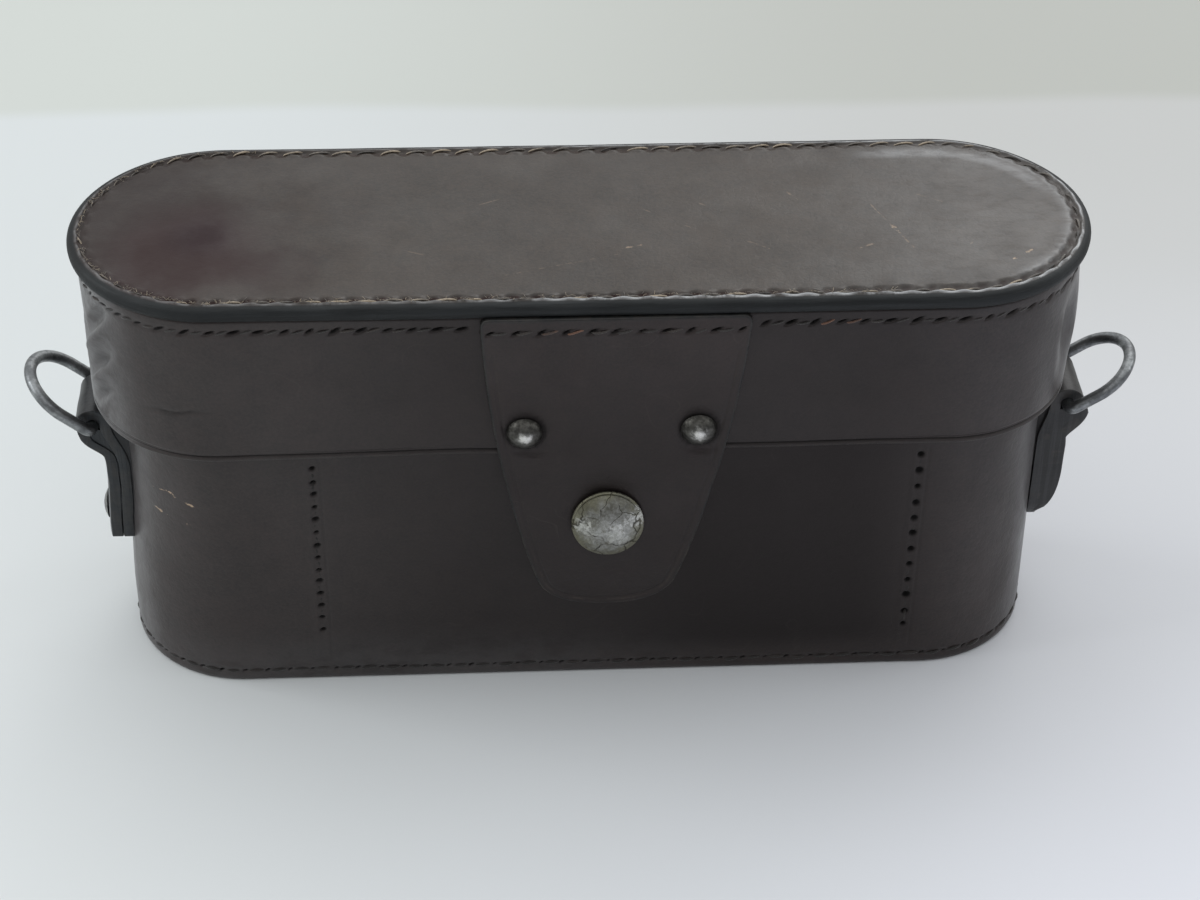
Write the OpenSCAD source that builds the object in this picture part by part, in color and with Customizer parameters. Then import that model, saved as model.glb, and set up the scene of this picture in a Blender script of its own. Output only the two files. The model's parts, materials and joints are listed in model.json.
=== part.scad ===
// Stadium-shaped leather instrument case. A slip-over lid hinges at the back, a riveted
// tongue closes it with a press stud, and a D-ring hangs in a strap loop at each end.
// X runs along the case, the front faces -Y and Z is up.
// The origin is the centre of the underside. All sizes are in millimetres.

/* [Case] */
// Length over the rim of the lid
case_len = 198; // [185:1:240]
// Depth over the rim of the lid, front to back
case_depth = 58; // [50:1:72]
// Height from the underside to the top of the lid
case_h = 96; // [90:1:120]
// Height of the lower edge of the lid
lid_edge_z = 60.6; // [58:0.2:72]
// How far the case wall reaches up inside the lid
collar_h = 7; // [4:0.5:8]
// Leather of the case wall and the lid wall
wall_t = 2.7; // [2.2:0.1:3.4]
// Leather of the lid panel and the bottom panel
panel_t = 3.4; // [3:0.1:5]
// How far the rim stands out from the lid wall
rim_out = 1.5; // [1:0.1:2.5]
// Gap between the lid wall and the case wall
lid_gap = 0.8; // [0.6:0.05:1.2]
// Cloth lining of the bottom and the lid
lining_t = 1.5; // [1:0.1:2.5]

/* [Dividers] */
// Place of the left divider's stitch row along the case
divider_left_x = -53.6; // [-57:0.1:-45]
// Place of the right divider's stitch row along the case
divider_right_x = 65.8; // [45:0.1:66]
// Height of the dividers above the bottom lining
divider_h = 53; // [40:1:55]
// Leather of the dividers
divider_t = 2.2; // [1.6:0.1:3]
// Width of the flange that is sewn to the wall
flange_w = 8; // [6:0.5:10]

/* [Tongue] */
// Place of the tongue's centre line along the case
tongue_x = 4.4; // [-20:0.1:20]
// Width at its top, under the rim
tongue_top_w = 51; // [44:0.5:64]
// Width where the rounded nose begins
tongue_nose_w = 27.8; // [24:0.1:34]
// Height of its lower end
tongue_end_z = 22; // [18:0.5:27]
// Height of the rounded nose
tongue_nose_h = 7; // [5:0.5:10]
// Leather of the tongue and of the hinge
tongue_t = 1.8; // [1.4:0.1:2.4]
// Distance between the two rivets
rivet_gap = 33.4; // [28:0.2:38]
// Height of the rivets
rivet_z = 66.6; // [66:0.1:80]
// Diameter of the rivet heads
rivet_head_d = 7; // [5:0.1:8]
// Height of the rivet heads
rivet_head_h = 2.4; // [1.4:0.1:2.8]

/* [Press stud] */
// Diameter of the cap
cap_d = 14.3; // [12:0.1:17]
// Height of the cap above the tongue
cap_h = 3.3; // [2:0.1:4]
// Height of its centre
snap_z = 45; // [43:0.1:48]
// Diameter of the stud's head
stud_d = 4.8; // [4:0.1:5.4]

/* [Ring loops] */
// Width of the strap that is folded into a loop
loop_w = 13; // [10:0.5:14]
// Leather of the strap
loop_t = 2.3; // [1.8:0.1:2.8]
// Height of the lower end of the left strap
loop_left_end_z = 24.8; // [20:0.1:26]
// Height of the lower end of the right strap
loop_right_end_z = 22.2; // [18:0.1:30]
// Distance from the case end to the bar of the left ring
bar_left_out = 3.8; // [3.8:0.1:6]
// Distance from the case end to the bar of the right ring
bar_right_out = 4.4; // [3.8:0.1:6]
// Distance from the lid's lower edge down to the bar
bar_drop = 6.9; // [6:0.1:8]
// Height of the rivet in the left loop
loop_rivet_z = 29; // [29:0.5:38]

/* [Rings] */
// Wire of the D-rings
wire_d = 2.4; // [2:0.1:3]
// Distance from the centre of the bar to the centre of the bow
ring_reach = 15.4; // [13:0.1:18]
// Gap between the side of a ring and its loop
ring_side_gap = 1.1; // [0.4:0.1:2]
// Upward tilt of the left ring as it stands
ring_left_tilt = 40; // [-60:1:60]
// Upward tilt of the right ring as it stands
ring_right_tilt = 34; // [-60:1:60]

/* [Hinge] */
// Width of the leather hinge
hinge_w = 70; // [50:1:90]
// Height of its lower end on the case
hinge_low_z = 32; // [26:1:40]
// Height of its upper end on the lid
hinge_top_z = 84; // [78:1:88]

/* [Hidden] */
$fn = 64;

// clearances
seat = 0.1;          // glued or sewn leather against leather
shank_gap = 0.1;     // round a rivet shank
bar_gap = 0.2;       // round the bar of a ring
spread = 0.3;        // between leather on either side of a bend
over = 1;            // how far a cut runs past a face

// outlines, from the rim inward
lid_len = case_len - 2 * rim_out;
lid_depth = case_depth - 2 * rim_out;
lid_in_depth = lid_depth - 2 * wall_t;
body_len = lid_len - 2 * (wall_t + lid_gap);
body_depth = lid_depth - 2 * (wall_t + lid_gap);
inner_len = body_len - 2 * wall_t;
inner_depth = body_depth - 2 * wall_t;

// heights
edge_r = 0.8;                          // worn edges of the leather
rim_r = panel_t / 2 - 0.1;             // burnished edge of the rim
lid_top_z = case_h - panel_t;          // underside of the lid panel
wall_top_z = lid_edge_z + collar_h;
floor_z = panel_t + lining_t;          // where the dividers stand
bend_z = lid_edge_z - 0.5;             // height of both leather bends

// sewing channel in the lid panel
channel_in = 2.4;
channel_w = 1.0;
channel_deep = 0.4;

// tongue, as a taper that steepens downward and ends in a superelliptic nose
tongue_top_z = lid_top_z - 0.5;
tongue_face = -lid_depth / 2;                    // lies on the lid wall
nose_z = tongue_end_z + tongue_nose_h;
nose_power = 2.6;
taper_drop = tongue_top_z - nose_z;
taper_even = 0.29;                               // share of the taper that is straight
tongue_corner_r = 2.5;
rivet_shank_d = 2.6;
rivet_root = 0.4;                                // a shank runs this far into its head
burr_d = 5.6;
burr_t = 0.6;
burr_sink = 0.8;                                 // burrs sit in sinks in the lid wall

// press stud, from the case front outward
snap_room = (lid_depth - body_depth) / 2;        // between case front and tongue
stud_flange_t = 0.5;
stud_flange_d = 9;
stud_wall = 0.4;
stud_gap = 0.4;                                  // between its top and the tongue's socket plate
post_d = 3.4;
post_tip_d = 2.5;
post_tip_h = 1;
post_dome_h = 0.8;
socket_t = 0.5;
socket_d = 10.4;
socket_gap = 0.3;
socket_high = snap_room - stud_flange_t - socket_gap;
socket_mouth_r = stud_d / 2 + socket_gap;
lip_r = 0.6;                                     // rolled lips of the stud and the socket
spring_d = 0.44;
groove_d = 0.55;                                 // holds the spring inside the socket
groove_z = socket_high - lip_r - groove_d - 0.15;
cap_post_d = 4;
cap_shell = 0.5;
cap_bead = 0.45;
rolled_t = 0.2;                                  // the cap's post is rolled over the socket

// ring loops
body_end = body_len / 2;
bar_z = lid_edge_z - bar_drop;
bore_r = wire_d / 2 + bar_gap;
fold_r = bore_r - 0.05 + loop_t / 2;             // centre line of the strap round the bar
inner_u = seat + loop_t / 2;                     // centre lines of the two layers
outer_u = inner_u + loop_t + 2 * seat;
bar_left = max(bar_left_out, fold_r + inner_u);  // the fold never presses into the case
bar_right = max(bar_right_out, fold_r + inner_u);
neck_drop = 8.5;
fold_hang = 2.6;                                 // the fold bulges on this far below the bar
fold_slack = 1.2;                                // and this far out on the right, where it is loose
neck_z = bar_z - neck_drop;                      // where the two layers meet
fold_open = 15;                                  // the round fold stops this far above level
loop_corner_r = loop_w / 2;
loop_out = outer_u + loop_t / 2;                 // both layers together
loop_skive_r = loop_out - 0.6;                   // the right strap is pared away at its foot

// D-ring, by the centre of its wire
ring_w = loop_w + wire_d + 2 * ring_side_gap;
ring_corner_r = wire_d / 2 + 0.4;
ring_butt = 0.4;                                 // its ends meet inside the loop
leg_x = ring_reach - ring_w / 2;

// hinge, by the centre of the leather
hinge_bend_y = lid_depth / 2 + tongue_t / 2;
hinge_body_y = body_depth / 2 + tongue_t / 2;
hinge_fold = 3.5;                                // room for the fold below the bend
hinge_inset = 1.8;                               // the lower half leans in by this at the bend
hinge_rise = 7.5;                                // height over which it leans out to there
hinge_corner_r = 5;

// ---------- helpers ----------

function smooth(t) = t * t * (3 - 2 * t);
function arc(c, r, a0, a1, n) = [for (i = [0:n]) let (a = a0 + (a1 - a0) * i / n) c + r * [cos(a), sin(a)]];
function unit(v) = v / norm(v);

// both sides of a strap of thickness t whose centre line is path
function along(path, i) = unit(path[min(i + 1, len(path) - 1)] - path[max(i - 1, 0)]);
function side(path, off) = [for (i = [0:len(path) - 1])
    path[i] + off * [-along(path, i)[1], along(path, i)[0]]];
function reversed(list) = [for (i = [len(list) - 1:-1:0]) list[i]];
module strap(path, t) {
    polygon(concat(side(path, t / 2), reversed(side(path, -t / 2))));
}

module stadium(length, depth) {
    square([length - depth, depth], center = true);
    for (s = [-1, 1])
        translate([s * (length - depth) / 2, 0]) circle(d = depth);
}

// a section with its outer face at X = 0, swept round a stadium
module around(length, depth) {
    run = length - depth;
    for (s = [-1, 1]) {
        translate([s * run / 2, 0, 0]) rotate([0, 0, -90 * s])
            rotate_extrude(angle = 180) translate([depth / 2, 0]) children();
        rotate([0, 0, s > 0 ? 0 : 180]) translate([0, depth / 2, 0])
            rotate([90, 0, 90]) linear_extrude(run, center = true) children();
    }
}

// section of a band of leather, with worn edges
module band_section(t, h, r) {
    translate([-t, r]) square([t, h - 2 * r]);
    translate([r - t, 0]) square([t - 2 * r, h]);
    for (x = [r - t, -r], y = [r, h - r])
        translate([x, y]) circle(r);
}

// half of the section of a panel of half width w
module panel_section(w, h, r) {
    square([w - r, h]);
    translate([0, r]) square([w, h - 2 * r]);
    for (y = [r, h - r])
        translate([w - r, y]) circle(r);
}

module panel(length, depth, h, r) {
    run = length - depth;
    for (s = [-1, 1])
        translate([s * run / 2, 0, 0]) rotate([0, 0, -90 * s])
            rotate_extrude(angle = 180) panel_section(depth / 2, h, r);
    rotate([90, 0, 90]) linear_extrude(run, center = true) {
        panel_section(depth / 2, h, r);
        mirror([1, 0]) panel_section(depth / 2, h, r);
    }
}

// domed head on Z = 0
module dome(d, h) {
    ball_r = (d * d / 4 + h * h) / (2 * h);
    rotate_extrude() intersection() {
        translate([0, h - ball_r]) circle(ball_r, $fn = 256);
        square([d / 2, h]);
    }
}

// turns Z into the outward direction of the front
module at_front(x, y, z) {
    translate([x, y, z]) rotate([90, 0, 0]) children();
}

// ---------- case ----------

module case_wall() {
    color("#2e2523") difference() {
        around(body_len, body_depth) band_section(wall_t, wall_top_z, edge_r);
        at_front(tongue_x, over - inner_depth / 2, snap_z)
            cylinder(d = post_d + 2 * shank_gap, h = wall_t + 2 * over);
        translate([over - inner_len / 2, 0, loop_rivet_z]) rotate([0, -90, 0])
            cylinder(d = rivet_shank_d + 2 * shank_gap, h = wall_t + 2 * over);
    }
}

module bottom_panel() {
    color("#2b2220") panel(inner_len - 2 * seat, inner_depth - 2 * seat, panel_t, edge_r);
}

module bottom_lining() {
    color("#4a2f2c") translate([0, 0, panel_t]) linear_extrude(lining_t)
        stadium(inner_len - 4 * seat, inner_depth - 4 * seat);
}

// keeps the flange of a divider on the straight part of the wall
function kept(row_x) = let (most = (inner_len - inner_depth - flange_w) / 2) max(-most, min(most, row_x));

// leather channel: a web across the case with a flange sewn to the front and one to the back
module divider(row_x, side) {
    depth = inner_depth - 2 * seat;
    bend_r = divider_t + 1;
    color("#3a2c28") translate([kept(row_x), 0, floor_z]) linear_extrude(divider_h) scale([side, 1])
        difference() {
            union() {
                translate([bend_r - flange_w / 2, -depth / 2]) square([flange_w - bend_r, depth]);
                translate([-flange_w / 2, bend_r - depth / 2]) square([bend_r, depth - 2 * bend_r]);
                for (s = [-1, 1])
                    translate([bend_r - flange_w / 2, s * (depth / 2 - bend_r)]) circle(bend_r);
            }
            translate([bend_r - flange_w / 2, divider_t - depth / 2])
                square([flange_w, depth - 2 * divider_t]);
            translate([divider_t - flange_w / 2, bend_r - depth / 2])
                square([flange_w, depth - 2 * bend_r]);
            for (s = [-1, 1])
                translate([bend_r - flange_w / 2, s * (depth / 2 - bend_r)]) circle(bend_r - divider_t);
        }
}

module divider_left() {
    divider(divider_left_x, -1);
}

module divider_right() {
    divider(divider_right_x, 1);
}

// centre line of the folded strap: up the case end, round the bar and down outside
fold_steps = 6;
function loop_path(bar_out, end_z, slack) = concat(
    [[inner_u, end_z]],
    [for (i = [0:fold_steps]) [inner_u + (bar_out - fold_r - inner_u) * smooth(i / fold_steps),
                               neck_z + (bar_z - neck_z) * i / fold_steps]],
    arc([bar_out, bar_z], fold_r, 180 - fold_open, fold_open, 2 * fold_steps),
    [for (i = [fold_steps:-1:0]) [outer_u + (bar_out + fold_r + slack - outer_u) * smooth(i / fold_steps),
                                  neck_z + (bar_z - fold_hang - neck_z) * i / fold_steps]],
    [[outer_u, end_z]]
);

// folded strap on the right end of the case, sewn shut below the bar
module loop_strap(bar_out, end_z, slack) {
    difference() {
        translate([body_end, 0, 0]) rotate([90, 0, 0]) linear_extrude(loop_w, center = true) {
            strap(loop_path(bar_out, end_z, slack), loop_t);
            polygon(loop_path(bar_out, end_z, slack));
        }
        translate([body_end + bar_out, 0, bar_z]) rotate([90, 0, 0])
            cylinder(r = bore_r, h = loop_w + over, center = true);
    }
}

module loop_left() {
    color("#26211f") difference() {
        mirror([1, 0, 0]) loop_strap(bar_left, loop_left_end_z, 0);
        translate([over - body_end, 0, loop_rivet_z]) rotate([0, -90, 0])
            cylinder(d = rivet_shank_d + 2 * shank_gap, h = loop_face_x - body_end + 2 * over);
    }
}

module loop_right() {
    tall = bar_z - loop_right_end_z;
    wide = bar_right + fold_r + fold_slack + loop_t;
    color("#26211f") intersection() {
        loop_strap(bar_right, loop_right_end_z, fold_slack);
        translate([body_end, 0, loop_right_end_z]) rotate([90, 0, 90]) linear_extrude(wide) {
            translate([0, loop_corner_r]) circle(loop_corner_r);
            translate([-loop_corner_r, loop_corner_r]) square([loop_w, tall]);
        }
        translate([body_end, 0, loop_right_end_z]) rotate([90, 0, 0])
            linear_extrude(loop_w + over, center = true) {
                translate([0, loop_skive_r]) square([wide, tall]);
                square([loop_out - loop_skive_r, loop_skive_r]);
                translate([loop_out - loop_skive_r, loop_skive_r]) circle(loop_skive_r);
            }
    }
}

// the burr's rim rests on the hollow side of the rounded case end
burr_seat_x = (inner_len - inner_depth + sqrt(pow(inner_depth, 2) - pow(burr_d, 2))) / 2 - seat / 2;
loop_head_d = rivet_head_d * 0.9;
loop_head_h = rivet_head_h * 0.4;
loop_face_x = body_end + loop_out;

module loop_rivet() {
    color("#5a5a58") translate([-loop_face_x, 0, loop_rivet_z]) rotate([0, -90, 0]) {
        dome(loop_head_d, loop_head_h);
        translate([0, 0, burr_seat_x - burr_t - loop_face_x])
            cylinder(d = rivet_shank_d, h = loop_face_x + burr_t - burr_seat_x + rivet_root);
    }
}

module loop_burr() {
    color("#6a6a66") translate([-burr_seat_x, 0, loop_rivet_z]) rotate([0, 90, 0]) difference() {
        cylinder(d = burr_d, h = burr_t);
        translate([0, 0, -over]) cylinder(d = rivet_shank_d + 2 * shank_gap, h = burr_t + 2 * over);
    }
}

// lower half of the hinge: flat on the case back, then out towards the bend
hinge_path = concat(
    [[hinge_body_y + seat, hinge_low_z]],
    [for (i = [0:fold_steps])
        [hinge_body_y + seat + (hinge_bend_y - hinge_inset - hinge_body_y) * smooth(i / fold_steps),
         bend_z - hinge_fold - hinge_rise * (1 - i / fold_steps)]]
);

module hinge_lower() {
    color("#2a2220") intersection() {
        rotate([90, 0, 90]) linear_extrude(hinge_w, center = true) strap(hinge_path, tongue_t);
        translate([0, case_depth, hinge_low_z]) rotate([90, 0, 0]) linear_extrude(case_depth)
            hinge_outline(bend_z - hinge_low_z);
    }
}

// strap end with two round corners at its foot
module hinge_outline(h) {
    translate([-hinge_w / 2, hinge_corner_r]) square([hinge_w, h - hinge_corner_r]);
    translate([hinge_corner_r - hinge_w / 2, 0]) square([hinge_w - 2 * hinge_corner_r, h]);
    for (s = [-1, 1])
        translate([s * (hinge_w / 2 - hinge_corner_r), hinge_corner_r]) circle(hinge_corner_r);
}

// hollow stud with a rolled head, held by a post from the inside
module snap_stud() {
    top = snap_room - socket_t - stud_gap;
    lip_x = stud_d / 2 - lip_r;
    color("#8a8578") at_front(tongue_x, -body_depth / 2, snap_z) rotate_extrude() difference() {
        union() {
            square([stud_flange_d / 2, stud_flange_t]);
            square([stud_d / 2 - stud_wall, top - lip_r]);
            translate([0, top - 2 * lip_r]) square([lip_x, 2 * lip_r]);
            translate([lip_x, top - lip_r]) circle(lip_r);
        }
        translate([0, -over]) square([post_tip_d / 2 + shank_gap, top + over - lip_r]);
    }
}

module snap_post() {
    color("#8a8578") at_front(tongue_x, -inner_depth / 2, snap_z) {
        mirror([0, 0, 1]) dome(stud_flange_d, post_dome_h);
        cylinder(d = post_d, h = wall_t);
        cylinder(d = post_tip_d, h = wall_t + post_tip_h);
    }
}

// ---------- lid ----------

module lid_wall() {
    color("#2e2523") difference() {
        translate([0, 0, lid_edge_z]) around(lid_len, lid_depth)
            band_section(wall_t, lid_top_z - lid_edge_z, edge_r);
        for (s = [-1, 1])
            at_front(tongue_x + s * rivet_gap / 2, over - lid_in_depth / 2, rivet_z) {
                cylinder(d = burr_d + 4 * shank_gap, h = burr_sink + over);
                cylinder(d = rivet_shank_d + 2 * shank_gap, h = wall_t + 2 * over);
            }
    }
}

module lid_panel() {
    color("#3a2f2d") translate([0, 0, lid_top_z]) difference() {
        panel(case_len, case_depth, panel_t, rim_r);
        translate([0, 0, panel_t - channel_deep])
            around(case_len - 2 * channel_in, case_depth - 2 * channel_in)
                translate([-channel_w, 0]) square([channel_w, channel_deep + over]);
    }
}

module lid_lining() {
    color("#4a2f2c") translate([0, 0, lid_top_z - lining_t]) linear_extrude(lining_t)
        stadium(lid_len - 2 * wall_t - 4 * seat, lid_in_depth - 4 * seat);
}

// half width of the tongue at a height, and its right-hand edge between two heights
function taper(z) = let (t = (tongue_top_z - z) / taper_drop)
    tongue_top_w / 2 - (tongue_top_w - tongue_nose_w) / 2 * (taper_even * t + (1 - taper_even) * t * t);
function nose(z) = z >= nose_z ? 1
    : pow(1 - pow(min(1, (nose_z - z) / tongue_nose_h), nose_power), 1 / nose_power);
function tongue_half(z) = taper(z) * nose(z);
function tongue_edge(z0, z1, n) = [for (i = [0:n]) let (z = z0 + (z1 - z0) * i / n) [tongue_half(z), z]];

// nose heights bunch towards the tip, so that the curve stays even
nose_steps = 14;
nose_edge = [for (i = [0:nose_steps])
    let (z = nose_z - tongue_nose_h * sin(90 * i / nose_steps)) [tongue_half(z), z]];

module mirrored_outline(edge) {
    polygon(concat(edge, reversed([for (p = edge) [-p[0], p[1]]])));
}

// end of a strap that turns on its own thickness: a plate with a half-round top
module rounded_plate(t, h) {
    translate([-t / 2, -h]) square([t, h]);
    circle(t / 2);
}

module tongue_root() {
    low = bend_z + tongue_t / 2 + spread;
    high = tongue_top_z - tongue_corner_r;
    edge = concat(tongue_edge(low, high, 8),
        arc([tongue_half(tongue_top_z) - tongue_corner_r, high], tongue_corner_r, 0, 90, 6));
    color("#2c2422") difference() {
        at_front(tongue_x, tongue_face, 0) linear_extrude(tongue_t) mirrored_outline(edge);
        for (s = [-1, 1])
            at_front(tongue_x + s * rivet_gap / 2, tongue_face + over, rivet_z)
                cylinder(d = rivet_shank_d + 2 * shank_gap, h = tongue_t + 2 * over);
    }
}

module tongue_flap() {
    edge = concat(tongue_edge(bend_z + tongue_t, nose_z, 10), nose_edge);
    color("#2c2422") difference() {
        intersection() {
            at_front(tongue_x, tongue_face + over, 0) linear_extrude(tongue_t + 2 * over)
                mirrored_outline(edge);
            translate([tongue_x, tongue_face - tongue_t / 2, bend_z]) rotate([90, 0, 90])
                linear_extrude(tongue_top_w, center = true)
                    rounded_plate(tongue_t, bend_z - tongue_end_z + over);
        }
        at_front(tongue_x, tongue_face + over, snap_z)
            cylinder(d = cap_post_d + 2 * shank_gap, h = tongue_t + 2 * over);
    }
}

module tongue_rivets() {
    shank = wall_t + tongue_t - (burr_sink - burr_t) / 2;
    color("#55554f") for (s = [-1, 1])
        at_front(tongue_x + s * rivet_gap / 2, tongue_face - tongue_t, rivet_z) {
            dome(rivet_head_d, rivet_head_h);
            translate([0, 0, -shank]) cylinder(d = rivet_shank_d, h = shank + rivet_root);
        }
}

module tongue_burrs() {
    color("#6a6a66") for (s = [-1, 1])
        at_front(tongue_x + s * rivet_gap / 2, -lid_in_depth / 2 - (burr_sink - burr_t), rivet_z)
            difference() {
                cylinder(d = burr_d, h = burr_t);
                translate([0, 0, -over]) cylinder(d = rivet_shank_d + 2 * shank_gap, h = burr_t + 2 * over);
            }
}

module hinge_upper() {
    color("#2a2220") intersection() {
        translate([0, hinge_bend_y, bend_z]) rotate([90, 0, 90]) linear_extrude(hinge_w, center = true)
            mirror([0, 1]) rounded_plate(tongue_t, hinge_top_z - bend_z);
        translate([0, case_depth, hinge_top_z]) mirror([0, 0, 1]) rotate([90, 0, 0])
            linear_extrude(case_depth) hinge_outline(hinge_top_z - bend_z + tongue_t);
    }
}

// ---------- press stud on the tongue ----------

module snap_cap() {
    crown = cap_h - 2 * cap_bead;
    ball_r = (pow(cap_d / 2, 2) + crown * crown) / (2 * crown);
    hollow_r = (cap_d - cap_post_d) / 2 - cap_bead - cap_shell;
    color("#a39c86") at_front(tongue_x, tongue_face - tongue_t, snap_z) rotate_extrude() {
        difference() {
            intersection() {
                translate([0, cap_h - ball_r]) circle(ball_r);
                square([cap_d / 2 - cap_bead, cap_h]);
            }
            intersection() {
                translate([0, cap_h - ball_r]) circle(ball_r - cap_shell);
                translate([cap_post_d / 2, cap_shell]) square([hollow_r, cap_h]);
            }
        }
        translate([cap_d / 2 - cap_bead, cap_bead]) circle(cap_bead);
        translate([0, -tongue_t - socket_t - rolled_t])
            square([cap_post_d / 2, tongue_t + socket_t + rolled_t + cap_shell]);
    }
}

// cup round the stud, with a groove for the spring
module snap_socket() {
    flange_r = socket_d / 2;
    bore_r = cap_post_d / 2 + shank_gap;
    out_r = flange_r - lip_r;
    color("#8a8578") at_front(tongue_x, tongue_face, snap_z) mirror([0, 0, 1]) rotate_extrude() difference() {
        union() {
            translate([bore_r, 0]) square([flange_r - bore_r, socket_t]);
            translate([socket_mouth_r, 0]) square([out_r - socket_mouth_r, socket_high - lip_r]);
            translate([socket_mouth_r + lip_r, 0]) square([out_r - socket_mouth_r - 2 * lip_r, socket_high]);
            for (x = [socket_mouth_r + lip_r, out_r - lip_r])
                translate([x, socket_high - lip_r]) circle(lip_r);
        }
        translate([0, groove_z]) square([socket_mouth_r + groove_d, groove_d]);
    }
}

module snap_spring() {
    color("#b8b4a8") at_front(tongue_x, tongue_face, snap_z)
        translate([0, 0, -groove_z - groove_d / 2]) rotate([0, 0, 20])
            rotate_extrude(angle = 320) translate([socket_mouth_r + spring_d / 2, 0]) circle(spring_d / 2);
}

// ---------- rings ----------

// D-ring in the XY plane, with its bar on the Y axis and its bow towards +X
module ring() {
    r = wire_d / 2;
    bar_half = ring_w / 2 - ring_corner_r;
    for (s = [-1, 1]) {
        translate([0, s * ring_butt / 2, 0]) rotate([-90 * s, 0, 0])
            cylinder(r = r, h = bar_half - ring_butt / 2);
        translate([ring_corner_r, s * bar_half, 0]) rotate([0, 0, s > 0 ? 90 : 180])
            rotate_extrude(angle = 90) translate([ring_corner_r, 0]) circle(r);
        translate([ring_corner_r, s * ring_w / 2, 0]) rotate([0, 90, 0])
            cylinder(r = r, h = leg_x - ring_corner_r);
    }
    translate([leg_x, 0, 0]) rotate([0, 0, -90]) rotate_extrude(angle = 180)
        translate([ring_w / 2, 0]) circle(r);
}

module ring_left() {
    color("#8d9294") mirror([1, 0, 0]) translate([body_end + bar_left, 0, bar_z])
        rotate([0, -ring_left_tilt, 0]) ring();
}

module ring_right() {
    color("#8d9294") translate([body_end + bar_right, 0, bar_z])
        rotate([0, -ring_right_tilt, 0]) ring();
}

case_wall();
bottom_panel();
bottom_lining();
divider_left();
divider_right();
loop_left();
loop_right();
loop_rivet();
loop_burr();
hinge_lower();
snap_stud();
snap_post();
lid_wall();
lid_panel();
lid_lining();
tongue_root();
tongue_rivets();
tongue_burrs();
hinge_upper();
tongue_flap();
snap_cap();
snap_socket();
snap_spring();
ring_left();
ring_right();
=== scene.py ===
"""Looks of a stadium-shaped leather instrument case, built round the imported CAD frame.

Shapes are worked out in millimetres in the frame's axes and become metres in make().
"""
import json
import math

import bmesh
import bpy
import numpy as np
from mathutils import Matrix, Vector


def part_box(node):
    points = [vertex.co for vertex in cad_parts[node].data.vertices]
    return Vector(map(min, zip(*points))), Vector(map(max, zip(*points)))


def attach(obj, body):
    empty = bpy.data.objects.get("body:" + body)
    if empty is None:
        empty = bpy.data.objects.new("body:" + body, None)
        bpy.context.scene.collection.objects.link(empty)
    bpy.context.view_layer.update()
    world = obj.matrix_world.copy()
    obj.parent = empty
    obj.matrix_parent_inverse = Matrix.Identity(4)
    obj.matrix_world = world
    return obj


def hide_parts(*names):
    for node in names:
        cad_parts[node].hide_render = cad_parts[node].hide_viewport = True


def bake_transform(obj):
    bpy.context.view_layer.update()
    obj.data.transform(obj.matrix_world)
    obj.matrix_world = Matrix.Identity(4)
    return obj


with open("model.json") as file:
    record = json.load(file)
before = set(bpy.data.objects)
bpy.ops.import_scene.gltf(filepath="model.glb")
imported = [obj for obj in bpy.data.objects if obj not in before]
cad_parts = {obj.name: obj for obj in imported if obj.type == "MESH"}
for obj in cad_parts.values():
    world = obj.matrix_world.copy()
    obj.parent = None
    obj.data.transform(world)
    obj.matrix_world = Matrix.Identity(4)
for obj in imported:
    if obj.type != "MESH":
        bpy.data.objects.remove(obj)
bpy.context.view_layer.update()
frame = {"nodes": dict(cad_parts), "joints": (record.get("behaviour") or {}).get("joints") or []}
JOINTS = {j["name"]: j for j in frame["joints"]}
MM = 0.001
PITCH = 4.7                          # of the saddle stitching
STEP = 1.17                          # length of the faces round a wall
EDGE_R = 0.8                         # rounding of a wall's edges
HOLE_EDGE = 0.85                     # share of a hole's size that is painted dark, as shade in it


def extent(node):
    """Lowest and highest corner of a CAD node in millimetres."""
    low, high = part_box(node)
    return np.array(low) / MM, np.array(high) / MM


def joint_at(name):
    return np.array(JOINTS[name]["pos_m"]) / MM


def cad_mesh(node):
    """Points and faces of a CAD node."""
    ob = frame["nodes"][node]
    points = np.array([ob.matrix_world @ v.co for v in ob.data.vertices]) / MM
    return points, [list(f.vertices) for f in ob.data.polygons]


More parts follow.
